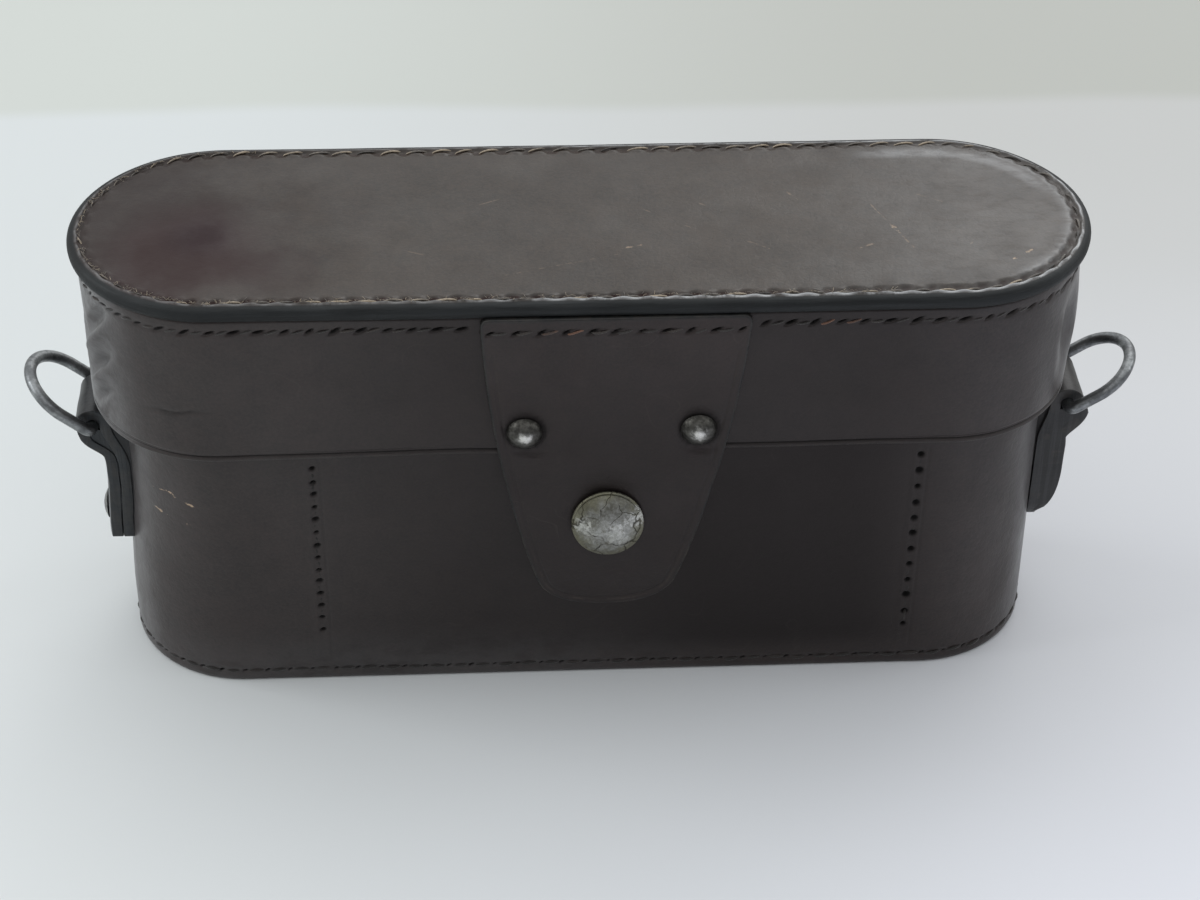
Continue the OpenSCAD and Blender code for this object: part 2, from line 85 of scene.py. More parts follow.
# ---------------------------------------------------------------- outlines
class Stadium:
    """Outline with two straight sides and two round ends, as long and deep as a CAD node less
    a margin. s runs along it from the middle of the front, towards +X; inset is the distance
    inward from it. r is the radius of the ends and c where their centres lie."""

    def __init__(self, node, margin=0.0):
        low, high = extent(node)
        length, depth = high[0] - low[0] - margin, high[1] - low[1] - margin
        self.low, self.high = low[2], high[2]
        self.r = depth / 2
        self.c = (length - depth) / 2
        self.round = 4 * self.c + 2 * math.pi * self.r

    def at(self, s):
        """Points and outward directions at s."""
        s = np.mod(s, self.round)
        arc = math.pi * self.r
        front = (s < self.c) | (s >= 3 * self.c + 2 * arc)
        right = (s >= self.c) & (s < self.c + arc)
        back = (s >= self.c + arc) & (s < 3 * self.c + arc)
        a = np.where(front, -np.pi / 2,
            np.where(right, (s - self.c) / self.r - np.pi / 2,
            np.where(back, np.pi / 2, (s - 3 * self.c - arc) / self.r + np.pi / 2)))
        along_front = np.where(s < self.c, s, s - self.round)
        mx = np.where(front, along_front,
             np.where(right, self.c, np.where(back, 2 * self.c + arc - s, -self.c)))
        n = np.stack([np.cos(a), np.sin(a)], -1)
        p = np.stack([mx, np.zeros_like(mx)], -1) + n * self.r
        return p, n

    def locate(self, x, y):
        """s, inset and outward direction of points."""
        mx = np.clip(x, -self.c, self.c)
        dx, dy = x - mx, y
        rho = np.maximum(np.hypot(dx, dy), 1e-6)
        arc = math.pi * self.r
        a_right = np.arctan2(dy, dx)
        a_left = np.mod(np.arctan2(dy, dx), 2 * np.pi)
        s = np.where(x > self.c, self.c + self.r * (a_right + np.pi / 2),
            np.where(x < -self.c, 3 * self.c + arc + self.r * (a_left - np.pi / 2),
            np.where(y < 0, np.mod(x, self.round), 2 * self.c + arc - x)))
        return s, self.r - rho, np.stack([dx / rho, dy / rho], -1)


def smooth(t):
    t = np.clip(t, 0, 1)
    return t * t * (3 - 2 * t)


def bell(d, width):
    """1 at d = 0, falling to 0 at width."""
    return smooth(1 - np.abs(d) / width)


WAVES = 7                            # sines added up in an uneven surface


def waves(p, length, seed):
    """Smooth unevenness in about -1..1 with features of that length."""
    r = np.random.default_rng(seed)
    out = 0
    for _ in range(WAVES):
        d = r.normal(size=p.shape[-1])
        d *= 2 * np.pi / length * r.uniform(0.6, 1.4) / np.linalg.norm(d)
        out = out + np.sin(p @ d + r.uniform(0, 2 * np.pi))
    return out / WAVES * 1.6


# ---------------------------------------------------------------- meshes
def make(name, points, faces, material, body=None, node=(), slot=None, rounded=True, **attributes):
    """Mesh object from millimetre points. It rides on body and stands for CAD nodes."""
    mesh = bpy.data.meshes.new(name)
    mesh.from_pydata((np.asarray(points, float) * MM).tolist(), [], [list(f) for f in faces])
    mesh.validate()
    bm = bmesh.new()
    bm.from_mesh(mesh)
    bmesh.ops.recalc_face_normals(bm, faces=bm.faces)
    bm.to_mesh(mesh)
    bm.free()
    for key, value in attributes.items():
        values = np.asarray(value, np.float32).ravel()
        mesh.attributes.new(key, "FLOAT", "POINT").data.foreach_set("value", values)
    if rounded:
        mesh.shade_smooth()
    ob = bpy.data.objects.new(name, mesh)
    bpy.context.scene.collection.objects.link(ob)
    mesh.materials.append(material)
    if node:
        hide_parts(*([node] if isinstance(node, str) else node))
    if body:
        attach(ob, body)
    return ob


def grid_faces(nu, nv, closed_u=False, closed_v=False):
    """Four-sided faces of a grid of nu by nv points."""
    iu = np.arange(nu if closed_u else nu - 1)
    iv = np.arange(nv if closed_v else nv - 1)
    u, v = np.meshgrid(iu, iv, indexing="ij")
    u2, v2 = (u + 1) % nu, (v + 1) % nv
    return np.stack([u * nv + v, u2 * nv + v, u2 * nv + v2, u * nv + v2], -1).reshape(-1, 4)


def reworked(points, faces, work):
    """The points and faces that work(mesh, bm) leaves."""
    mesh = bpy.data.meshes.new("rework")
    mesh.from_pydata(points.tolist(), [], [list(f) for f in faces])
    bm = bmesh.new()
    bm.from_mesh(mesh)
    work(mesh, bm)
    out = np.array([v.co[:] for v in bm.verts])
    found = [[v.index for v in f.verts] for f in bm.faces]
    bm.free()
    bpy.data.meshes.remove(mesh)
    return out, found


def refined(points, faces, chosen, cuts):
    """The mesh with the faces where chosen(centres) holds cut finer."""
    def work(mesh, bm):
        centres = np.zeros(len(mesh.polygons) * 3)
        mesh.polygons.foreach_get("center", centres)
        bm.faces.ensure_lookup_table()
        edges = {e for i in np.flatnonzero(chosen(centres.reshape(-1, 3))) for e in bm.faces[i].edges}
        bmesh.ops.subdivide_edges(bm, edges=list(edges), cuts=cuts, use_grid_fill=True)
        bmesh.ops.triangulate(bm, faces=[f for f in bm.faces if len(f.verts) > 4])
    return reworked(points, faces, work)


def welded(points, faces):
    """The mesh with points that lie together made one, such as a closing row."""
    return reworked(points, faces, lambda mesh, bm: bmesh.ops.remove_doubles(bm, verts=bm.verts, dist=0.01))


def band(outline, section, n, closed=True):
    """A section of (inset, z) swept round an outline in n steps."""
    p, normal = outline.at(np.arange(n) * outline.round / n)
    xy = p[:, None] - normal[:, None] * section[None, :, 0, None]
    points = np.concatenate([xy, np.broadcast_to(section[None, :, 1, None], xy.shape[:2] + (1,))], -1)
    return points.reshape(-1, 3), grid_faces(n, len(section), True, closed)


def corner(c, r, a0, a1, n):
    """An arc of n points round c, between two angles in degrees."""
    a = np.radians(np.linspace(a0, a1, n))
    return np.stack([c[0] + r * np.cos(a), c[1] + r * np.sin(a)], -1)


def wall_section(t, z0, z1, r, step, foot=None, fine=0.0):
    """Closed section of a wall: outer face up, over the top edge, inner face down. foot is the
    radius of the lower edge, and rows lie close together up to fine above it."""
    foot = foot or r
    rows = np.linspace(z0 + foot + fine, z1 - r, int((z1 - z0 - 2 * r - fine) / step) + 1)
    if fine:
        rows = np.concatenate([np.linspace(z0 + foot, z0 + foot + fine, int(fine / 0.13) + 1)[:-1], rows])
    up = np.stack([np.zeros(len(rows)), rows], -1)
    top = np.concatenate([corner((r, z1 - r), r, 180, 90, 6)[1:], corner((t - r, z1 - r), r, 90, 0, 6)])
    down = np.stack([np.full(18, t), np.linspace(z1 - r, z0 + r, 19)[1:]], -1)
    low = np.concatenate([corner((t - r, z0 + r), r, 0, -90, 6)[1:],
                          corner((foot, z0 + foot), foot, -90, -180, 6)[:-1]])
    return np.concatenate([up, top, down, low])


# ---------------------------------------------------------------- stitch rows
class Row:
    """A row of stitches along a path. Holes are slanted slits at every pitch."""

    def __init__(self, count, pitch, start, seed, tilt=0.6, long=1.0, wide=0.42, jitter=0.12):
        self.count, self.pitch, self.start = count, pitch, start
        self.tilt, self.long, self.wide = tilt, long, wide
        r = np.random.default_rng(seed)
        self.shift = r.normal(0, jitter, count + 1)
        self.turn = r.normal(0, 0.12, count + 1)
        self.size = r.uniform(0.75, 1.15, count + 1)

    def holes(self, s, t, grow=1.0):
        """0..1 inside the holes, at s along the row and t across it."""
        k = np.clip(np.round((s - self.start) / self.pitch).astype(int), 0, self.count)
        ds = s - self.start - k * self.pitch - self.shift[k]
        a = self.tilt + self.turn[k]
        u = ds * np.cos(a) + t * np.sin(a)
        v = -ds * np.sin(a) + t * np.cos(a)
        q = np.hypot(u / (self.long * grow), v / (self.wide * grow)) / self.size[k]
        return smooth(1 - q)


def round_row(length, seed, **slits):
    """A row with a whole number of stitches round an outline of that length."""
    count = int(round(length / PITCH))
    return Row(count, length / count, 0, seed, **slits)


RINGS, SIDES = 13, 8                 # points along a stitch and round it
SINK = 0.4                           # how deep its ends go


def thread(name, row, where, material, body, slot="bridle_leather", radius=0.36, rise=0.32, gap=0.1,
           slant=0.25, seed=1, gone=0.0, flat=0.8, keep=None, aside=0.0, bow=0.0, tone=None):
    """The thread of a row, one short tube per stitch, that dives into the leather at both ends.
    where(s, t, h) gives points at s along, t across and h above the leather. keep(s) chooses the
    stitches, gone is the share that has worn away, and tone(s) runs from dirty to bare."""
    r = np.random.default_rng(seed)
    k = np.arange(row.count)
    if keep is not None:
        k = k[keep(row.start + (k + 0.5) * row.pitch)]
    k = k[r.random(len(k)) >= gone]
    n = len(k)
    u = np.linspace(0, 1, RINGS)[None, :]
    s0 = row.start + k[:, None] * row.pitch + row.shift[k][:, None] * 0.6
    s = s0 + (gap + u * (1 - 2 * gap)) * row.pitch
    side = slant * (1 + r.normal(0, 0.25, (n, 1)))
    t = aside + side * (2 * u - 1) + bow * np.sin(np.pi * u) + r.normal(0, 0.05, (n, 1))
    t = t + 0.12 * np.sin(np.pi * u) * r.normal(0, 1, (n, 1))
    t = t + 0.05 * np.sin(2 * np.pi * u) * r.normal(0, 1, (n, 1))
    top = rise * r.uniform(0.6, 1.15, (n, 1))
    h = -SINK + (top + SINK) * np.sin(np.pi * u) ** 0.55
    p = where(s, t, h)
    ahead = where(s + 0.05, t, h)
    above = where(s, t, h + 0.05)
    d = ahead - p
    d /= np.linalg.norm(d, axis=-1, keepdims=True)
    up = above - p
    up -= d * (up * d).sum(-1, keepdims=True)
    up /= np.linalg.norm(up, axis=-1, keepdims=True)
    across = np.cross(d, up)
    twist = np.linspace(0, 2 * np.pi, SIDES, endpoint=False)
    girth = radius * r.uniform(0.85, 1.1, (n, 1)) * (0.25 + 0.75 * np.sin(np.pi * u) ** 0.35)
    ply = 1 + 0.13 * np.cos(2 * (twist[None, None] - 5.5 * np.pi * u[..., None]))
    ring = girth[..., None] * ply
    points = p[:, :, None] + ring[..., None] * (across[:, :, None] * np.cos(twist)[None, None, :, None]
                                                + flat * up[:, :, None] * np.sin(twist)[None, None, :, None])
    points = points.reshape(n, -1, 3)
    one = grid_faces(RINGS, SIDES, False, True)
    ends = [list(range(SIDES))[::-1], list(range((RINGS - 1) * SIDES, RINGS * SIDES))]
    faces = []
    for i in range(n):
        base = i * RINGS * SIDES
        faces += (one + base).tolist() + [[v + base for v in e] for e in ends]
    tones = r.random(n) if tone is None else np.clip(tone(s.mean(1)) + r.normal(0, 0.16, n), 0, 1)
    tone = np.repeat(tones, RINGS * SIDES)
    return make(name, points.reshape(-1, 3), faces, material, body, slot=slot, tone=tone)


# ---------------------------------------------------------------- node helpers
class Nodes:
    """Shorthand for the node tree of a material, or of a world."""

    def __init__(self, owner):
        owner.use_nodes = True
        self.owner, self.tree = owner, owner.node_tree

    def join(self, socket, value):
        """Links a socket to a value, or sets it. A colour comes without its alpha."""
        if isinstance(value, bpy.types.NodeSocket):
            self.tree.links.new(value, socket)
        else:
            socket.default_value = (*value, 1) if socket.type == "RGBA" else value

    def new(self, kind, *values, **named):
        """A node with its properties and inputs by name and its first inputs in their order."""
        node = self.tree.nodes.new("ShaderNode" + kind)
        for key, value in named.items():
            name = key.replace("_", " ")
            if name in node.inputs:
                self.join(node.inputs[name], value)
            else:
                setattr(node, key, value)
        for i, value in enumerate(values):
            self.join(node.inputs[i], value)
        return node

    def place(self):
        return self.new("TexCoord").outputs["Object"]

    def math(self, operation, *values, clamp=False):
        return self.new("Math", *values, operation=operation, use_clamp=clamp).outputs[0]

    def mul(self, a, b):
        return self.math("MULTIPLY", a, b)

    def add(self, a, b, clamp=False):
        return self.math("ADD", a, b, clamp=clamp)

    def most(self, a, b):
        """The larger of two, or the second where the first is None."""
        return b if a is None else self.math("MAXIMUM", a, b)

    def blend(self, a, share, b):
        """share of a and the rest of b."""
        return self.add(self.mul(a, share), self.mul(b, 1 - share))

    def vector(self, operation, *values, **named):
        return self.new("VectorMath", *values, operation=operation, **named)

    def mapped(self, value, low, high, to_low=0.0, to_high=1.0, soft=True):
        kind = "SMOOTHSTEP" if soft else "LINEAR"
        return self.new("MapRange", value, low, high, to_low, to_high, interpolation_type=kind).outputs[0]

    def mix(self, share, a, b):
        node = self.new("Mix", data_type="RGBA")
        for i, value in ((0, share), (6, a), (7, b)):
            self.join(node.inputs[i], value)
        return node.outputs[2]

    def noise(self, where, scale, detail=3.0, rough=0.55, stretch=(1, 1, 1), turn=(0, 0, 0), distort=0.0):
        if (stretch, turn) != ((1, 1, 1), (0, 0, 0)):
            where = self.new("Mapping", Vector=where, Scale=stretch, Rotation=turn).outputs[0]
        return self.new("TexNoise", Vector=where, Scale=scale, Detail=detail, Roughness=rough,
                        Distortion=distort).outputs[0]

    def cells(self, where, scale, feature="F1"):
        return self.new("TexVoronoi", feature=feature, Vector=where, Scale=scale).outputs["Distance"]

    def attribute(self, name):
        return self.new("Attribute", attribute_name=name).outputs["Fac"]

    def line(self, noise, width):
        """Thin lines where a noise passes its middle."""
        return self.mapped(self.math("ABSOLUTE", self.math("SUBTRACT", noise, 0.5)), width, 0.0)

    def bump(self, *heights):
        """Bumps of (height, distance in metres, strength), each on the last."""
        normal = {}
        for height, distance, strength in heights:
            b = self.new("Bump", Height=height, Distance=distance, Strength=strength, **normal)
            normal = {"Normal": b.outputs[0]}
        return b.outputs[0]

    def wire(self, kind="Principled BSDF", **sockets):
        """Sets the shader's sockets and returns what the tree belongs to."""
        for key, value in sockets.items():
            self.join(self.tree.nodes[kind].inputs[key.replace("_", " ")], value)
        return self.owner


def painted(name):
    """The nodes of a new material, and its place coordinates."""
    m = Nodes(bpy.data.materials.new(name))
    return m, m.place()


# ---------------------------------------------------------------- materials
# colours of painted shade and of painted highlight and sheen
PAINTED_SHADE = (0.024, 0.0195, 0.0190)
PAINTED_HIGHLIGHT = (0.42, 0.426, 0.437)
RUBBED = (0.10, 0.078, 0.062)
SCUFFED = (0.12, 0.10, 0.09)
BLOOM = (0.10, 0.092, 0.085)
BARE = (0.42, 0.30, 0.20)
FLESH_DARK, FLESH_LIGHT = (0.075, 0.04, 0.024), (0.12, 0.064, 0.0384)


def scuff_lines(m, at):
    """Fine random scratches in three directions."""
    lines = None
    for i, (turn, stretch) in enumerate(((0.5, 26), (-0.35, 34), (1.45, 30))):
        thin = m.line(m.noise(at, 46, 2, 0.5, stretch=(1, stretch, 1), turn=(0.1 * i, 0.2, turn)), 0.006)
        lines = m.most(lines, m.mul(thin, m.mapped(m.noise(at, 38 + 7 * i, 3, 0.5), 0.56, 0.70)))
    return lines


def scratch_mask(m, at, marks, plane):
    """Single long scratches, or None. Those measured without Y lie on the front alone."""
    scratch = None
    for a, b, wide, strength in marks:
        a, b = Vector(a) * Vector(plane), Vector(b) * Vector(plane)
        offset = m.vector("SUBTRACT", m.vector("MULTIPLY", at, plane).outputs[0], a)
        along = m.vector("DOT_PRODUCT", offset.outputs[0], (b - a) / (b - a).length_squared)
        share = m.mapped(along.outputs["Value"], 0, 1, 0, 1, soft=False)
        foot = m.vector("SCALE", b - a, Scale=share)
        gap = m.vector("DISTANCE", offset.outputs[0], foot.outputs[0])
        wander = m.add(gap.outputs["Value"], m.mapped(m.noise(at, 500, 2), 0.35, 0.65, -wide, wide))
        broken = m.mapped(m.noise(at, 700, 2, 0.7), 0.40, 0.56)
        scratch = m.most(scratch, m.mul(m.mapped(wander, wide, wide * 0.3, 0, strength), broken))
    if marks and not plane[1]:
        scratch = m.mul(scratch, m.mapped(m.new("SeparateXYZ", Vector=at).outputs["Y"], -0.002, 0.002, 1, 0))
    return scratch


def leather(name, dark=(0.0112, 0.0068, 0.0061), light=(0.0222, 0.0142, 0.0128),
            hole_shade=(0.002, 0.0015, 0.0015), rough=0.39, patches=(), marks=(), plane=(1, 1, 1), scuffs=0.5,
            grain=1.0, bloom=0.0, edge=(0.010, 0.0112, 0.0118), plies=(0.05, 0.05, 1)):
    """Old bridle leather. Attributes: pit (painted shade in holes, grooves, creases and rings), burnish (dressed
    edges), wear (rubbed edges), polish (polished ridges with a painted highlight), gloss (glossy places with a painted
    sheen), flesh (the inner side), shade (painted shade, with a weaker reflection). hole_shade is the colour of the
    painted shade in the holes.
    Patches are tinted spots of (centre, radius, tint, strength). Marks are scratches of
    (from, to, width, strength), measured along the axes in plane, and bloom is pale dust."""
    m, at = painted(name)
    cloud = m.noise(at, 28, 4, 0.6)
    mottle = m.noise(at, 210, 3, 0.6)
    tone = m.mapped(m.blend(cloud, 0.55, mottle), 0.36, 0.66)
    color = m.mix(tone, dark, light)
    specks = m.mapped(m.noise(at, 1500, 3, 0.7), 0.3, 0.7)
    color = m.mix(m.mul(specks, 0.35), color, tuple(2.0 * c for c in light))
    # shade is painted shade: a darker colour, and through dull a weaker reflection
    shade = m.attribute("shade")
    color = m.mix(shade, color, PAINTED_SHADE)
    dull = m.mul(shade, 0.7)
    for centre, radius, tint, strength in patches:
        away = m.vector("DISTANCE", at, centre)
        ragged = m.add(away.outputs["Value"],
                       m.mapped(m.noise(at, 60, 4, 0.6), 0.3, 0.7, -0.22 * radius, 0.22 * radius))
        mask = m.mapped(ragged, 1.15 * radius, 0.05 * radius, 0, strength)
        dull = m.most(dull, m.mul(mask, 0.6))
        color = m.mix(mask, color, tint)
    if bloom:
        dust = m.mapped(m.noise(at, 45, 5, 0.65), 0.42, 0.72, 0, bloom)
        color = m.mix(dust, color, BLOOM)
    lines = scuff_lines(m, at)
    color = m.mix(m.mul(lines, 0.35 * scuffs), color, SCUFFED)
    scratch = scratch_mask(m, at, marks, plane)
    if scratch is not None:
        color = m.mix(scratch, color, BARE)
    # holes, grooves and creases are painted dark as shade; polished ridges and glossy places get a painted highlight
    # and sheen in a pale colour, and are smoother
    flesh, pit, burnish, wear, polish = (m.attribute(k) for k in ("flesh", "pit", "burnish", "wear", "polish"))
    polish = m.mul(polish, m.mapped(m.noise(at, 210, 4, 0.65), 0.34, 0.54))
    wrinkles = m.noise(at, 260, 4, 0.65, stretch=(0.6, 1.5, 1), turn=(0, 0, 0.5))
    gloss = m.mul(m.attribute("gloss"), m.mapped(wrinkles, 0.34, 0.56, 0.55, 1.1))
    polish = m.most(polish, gloss)
    rubbed = m.mul(wear, m.mapped(m.noise(at, 330, 4, 0.7), 0.38, 0.62))
    layers = m.mapped(m.noise(at, 1100, 3, 0.6, stretch=plies), 0.38, 0.62)
    color = m.mix(burnish, color, m.mix(layers, edge, tuple(1.7 * c for c in edge)))
    color = m.mix(m.mul(polish, 0.85), color, PAINTED_HIGHLIGHT)
    color = m.mix(m.mul(rubbed, 0.8), color, RUBBED)
    color = m.mix(flesh, color, m.mix(m.mapped(m.noise(at, 420, 5, 0.7), 0.35, 0.65), FLESH_DARK, FLESH_LIGHT))
    # painted shade in the holes
    color = m.mix(m.mul(pit, 0.92), color, hole_shade)
    shine = m.mapped(m.noise(at, 70, 4, 0.6), 0.3, 0.7, rough - 0.07, rough + 0.07)
    shine = m.add(shine, m.mul(lines, 0.15 * scuffs))
    shine = m.add(shine, m.mul(burnish, 0.04))
    shine = m.math("SUBTRACT", shine, m.mul(polish, 0.16))
    shine = m.add(shine, m.mul(flesh, 0.45), clamp=True)
    if patches:
        shine = m.add(shine, m.mul(dull, 0.40))
    shine = m.add(shine, m.mul(pit, 0.6), clamp=True)
    pores = m.cells(at, 1500)
    creases = m.cells(at, 620, "DISTANCE_TO_EDGE")
    streaks = m.noise(at, 160, 4, 0.65, stretch=(0.25, 0.25, 1.6))
    skin = m.blend(pores, 0.6, m.mapped(creases, 0, 0.12))
    bumps = [(m.noise(at, 90, 4, 0.55), 0.0007, 0.22), (m.noise(at, 420, 3, 0.6), 0.0002, 0.42 * grain),
             (skin, 0.00005, 0.45 * grain), (m.mul(layers, burnish), 0.0001, 0.35),
             (m.mul(streaks, burnish), 0.0007, 0.45), (m.mul(lines, -1.0), 0.00008, 0.5 * scuffs)]
    if scratch is not None:
        bumps.append((m.mul(scratch, -1.0), 0.00012, 0.6))
    normal = m.bump(*bumps)
    return m.wire(Base_Color=color, Metallic=dull, Roughness=shine, Normal=normal, Specular_IOR_Level=0.5)


def thread_material(name, dark, mid, light, share):
    """Waxed linen: stitches from dark and dirty to bare and golden, by tone."""
    m, at = painted(name)
    tone = m.attribute("tone")
    dirt = m.blend(tone, 0.55, m.noise(at, 160, 3, 0.7))
    color = m.mix(m.mapped(dirt, share - 0.10, share + 0.05), dark, mid)
    color = m.mix(m.mapped(dirt, share + 0.06, share + 0.20), color, light)
    fibre = m.noise(at, 2600, 2, 0.6)
    return m.wire(Base_Color=m.mix(m.mul(fibre, 0.5), color, (0.02, 0.014, 0.01)), Roughness=0.75,
                  Normal=m.bump((fibre, 0.0001, 0.6)), Sheen_Weight=0.2)


def metal(name, bright, dull, stain, rough, mottling=0.5, scratch=0.5, fine=1.0):
    """Worn metal with tarnish, specks and scratches."""
    m, at = painted(name)
    cloud = m.noise(at, 260, 5, 0.65)
    spots = m.noise(at, 900, 4, 0.7)
    patch = m.mapped(m.blend(cloud, 0.6, spots), 0.40, 0.60)
    lines = None
    for i, turn in enumerate((0.3, -0.8, 1.3)):
        lines = m.most(lines, m.line(m.noise(at, 190, 2, 0.5, stretch=(1, 1, 22), turn=(0, turn, 0.4 * i)), 0.02))
    color = m.mix(patch, dull, bright)
    color = m.mix(m.mapped(m.noise(at, 520, 4, 0.7), 0.55, 0.68, 0, mottling), color, stain)
    color = m.mix(m.mul(lines, 0.4 * scratch), color, tuple(min(1, c * 1.5) for c in bright))
    # holes are painted dark as shade
    pit = m.attribute("pit")
    color = m.mix(pit, color, tuple(c * 0.25 for c in stain))
    shine = m.mapped(patch, 0, 1, rough + 0.16, rough)
    shine = m.add(shine, m.mul(pit, 0.3), clamp=True)
    normal = m.bump((m.noise(at, 330, 4, 0.6), 0.00025 * fine, 0.5), (spots, 0.00006 * fine, 0.5),
                    (m.mul(lines, -1.0), 0.00004 * fine, 0.6 * scratch))
    return m.wire(Base_Color=color, Metallic=m.mapped(pit, 0, 1, 1, 0.2), Roughness=shine, Normal=normal)


def cloth(name, dark, light):
    """Short-napped baize."""
    m, at = painted(name)
    nap = m.noise(at, 1900, 4, 0.8)
    worn = m.noise(at, 60, 4, 0.6)
    color = m.mix(m.mapped(m.blend(nap, 0.5, worn), 0.35, 0.65), dark, light)
    return m.wire(Base_Color=color, Roughness=0.95, Sheen_Weight=0.5, Sheen_Roughness=0.5,
                  Normal=m.bump((worn, 0.0006, 0.4), (nap, 0.00025, 0.8)))


def scratches(points, *rows):
    """Marks from rows of two places and a width in millimetres, and a strength. points(a, b)
    puts a place's two numbers into space."""
    return [(points(a * MM, b * MM), points(c * MM, d * MM), wide * MM, strength)
            for a, b, c, d, wide, strength in rows]


LID_MARKS = scratches(
    lambda x, y: (x, y, 0),
    (56.3, 3.2, 62.6, -12.6, 0.13, 0.24), (59.6, -4.8, 60.6, -7.3, 0.30, 0.50),
    (80.6, -17.2, 85.0, -13.8, 0.26, 0.70), (51.4, -12.9, 54.8, -11.0, 0.18, 0.26),
    (7.1, -11.0, 10.6, -10.1, 0.22, 0.42), (73.0, -12.6, 74.1, -10.9, 0.15, 0.30),
    (40.2, 8.5, 42.7, 4.8, 0.14, 0.22), (23.1, 4.4, 26.8, 1.7, 0.13, 0.16),
    (-19.7, 5.5, -15.8, 7.5, 0.13, 0.16), (-16.0, -19.0, 6.0, -13.0, 0.10, 0.12),
    (30.0, -8.5, 35.2, -12.2, 0.12, 0.16), (10.0, 4.0, 20.5, -4.0, 0.10, 0.13),
    (-35.0, -10.0, -29.0, -12.5, 0.11, 0.13), (66.0, 6.5, 70.5, 3.5, 0.11, 0.14))
BODY_MARKS = scratches(
    lambda x, z: (x, 0, z),
    (-86.6, 45.2, -82.4, 46.6, 0.16, 0.8), (-82.8, 46.6, -77.2, 45.0, 0.22, 1.0),
    (-81.2, 45.9, -78.4, 45.2, 0.18, 0.9), (-86.1, 40.5, -82.6, 40.3, 0.24, 0.8),
    (-79.0, 40.2, -78.6, 40.2, 0.25, 0.7))
lid_leather = leather("lid_leather", dark=(0.0165, 0.0110, 0.0075), light=(0.032, 0.0220, 0.0155),
                      hole_shade=(0.027, 0.0118, 0.0105), rough=0.40, marks=LID_MARKS, plane=(1, 1, 0),
                      scuffs=0.7, grain=0.8, bloom=0.14,
                      patches=[((-0.084, -0.004, 0.096), 0.040, (0.026, 0.0170, 0.0165), 0.75),
                               ((-0.077, -0.011, 0.096), 0.023, (0.038, 0.0195, 0.0190), 0.85),
                               ((-0.0724, -0.0045, 0.096), 0.0080, (0.024, 0.0100, 0.0118), 0.95)])
wall_leather = leather("wall_leather", scuffs=0.2)
body_leather = leather("body_leather", marks=BODY_MARKS, plane=(1, 0, 1), scuffs=0.2)
strap_leather = leather("strap_leather", dark=(0.0125, 0.0070, 0.0062), light=(0.0250, 0.0145, 0.0128),
                        rough=0.43, scuffs=0.3)
left_loop = leather("left_loop_leather", dark=(0.014, 0.0145, 0.0155), light=(0.026, 0.027, 0.029),
                    rough=0.42, scuffs=0.3, edge=(0.010, 0.0125, 0.015), plies=(1, 0.05, 0.05))
right_loop = leather("right_loop_leather", dark=(0.016, 0.0145, 0.0145), light=(0.030, 0.027, 0.026),
                     rough=0.48, scuffs=0.3, edge=(0.0205, 0.0205, 0.0215), plies=(1, 0.05, 0.05))
divider_leather = leather("divider_leather", dark=(0.06, 0.034, 0.02), light=(0.11, 0.062, 0.036),
                          rough=0.62, scuffs=0.2)
worn_thread = thread_material("worn_thread", (0.028, 0.024, 0.022), (0.15, 0.132, 0.115), (0.46, 0.375, 0.275), 0.44)
side_thread = thread_material("side_thread", (0.030, 0.0265, 0.0245), (0.048, 0.037, 0.031), (0.19, 0.090, 0.055), 0.50)
dark_thread = thread_material("dark_thread", (0.007, 0.0055, 0.005), (0.018, 0.013, 0.011), (0.06, 0.042, 0.028), 0.72)
steel = metal("ring_steel", (0.30, 0.31, 0.315), (0.15, 0.155, 0.16), (0.08, 0.072, 0.065), 0.33, 0.3, 0.25, fine=0.5)
rivet_steel = metal("rivet_steel", (0.26, 0.26, 0.25), (0.10, 0.10, 0.095), (0.05, 0.045, 0.04), 0.30, 0.6, 0.4)
brass = metal("snap_brass", (0.62, 0.50, 0.27), (0.40, 0.31, 0.16), (0.18, 0.13, 0.06), 0.32, 0.4, 0.4)
baize = cloth("lining_baize", (0.07, 0.012, 0.014), (0.14, 0.03, 0.03))


def off_axis(m, at, x, z):
    """Distance from a line along Y, in metres."""
    away = m.vector("DISTANCE", m.vector("MULTIPLY", at, (1, 0, 1)).outputs[0], (x, 0, z))
    return away.outputs["Value"]


def dome_steel(name, centres):
    """Dark steel rivet heads, with a bright spot a little above their middle."""
    m, at = painted(name)
    near = None
    for x, z in centres:
        d = off_axis(m, at, x, z)
        near = d if near is None else m.math("MINIMUM", near, d)
    ragged = m.add(near, m.mapped(m.noise(at, 900, 4, 0.65), 0.3, 0.7, -0.0005, 0.0005))
    # a bright spot on each head, with a paler ring round it
    worn = m.mapped(ragged, 0.0017, 0.0002)
    haze = m.mapped(ragged, 0.0028, 0.0008)
    cloud = m.noise(at, 1100, 4, 0.65)
    color = m.mix(m.mapped(cloud, 0.4, 0.62), (0.040, 0.038, 0.034), (0.085, 0.081, 0.073))
    color = m.mix(m.mul(haze, 0.5), color, (0.17, 0.165, 0.155))
    color = m.mix(worn, color, (0.62, 0.61, 0.58))
    return m.wire(Base_Color=color, Metallic=0.9, Roughness=m.mapped(worn, 0, 1, 0.36, 0.26),
                  Normal=m.bump((cloud, 0.0001, 0.4)))


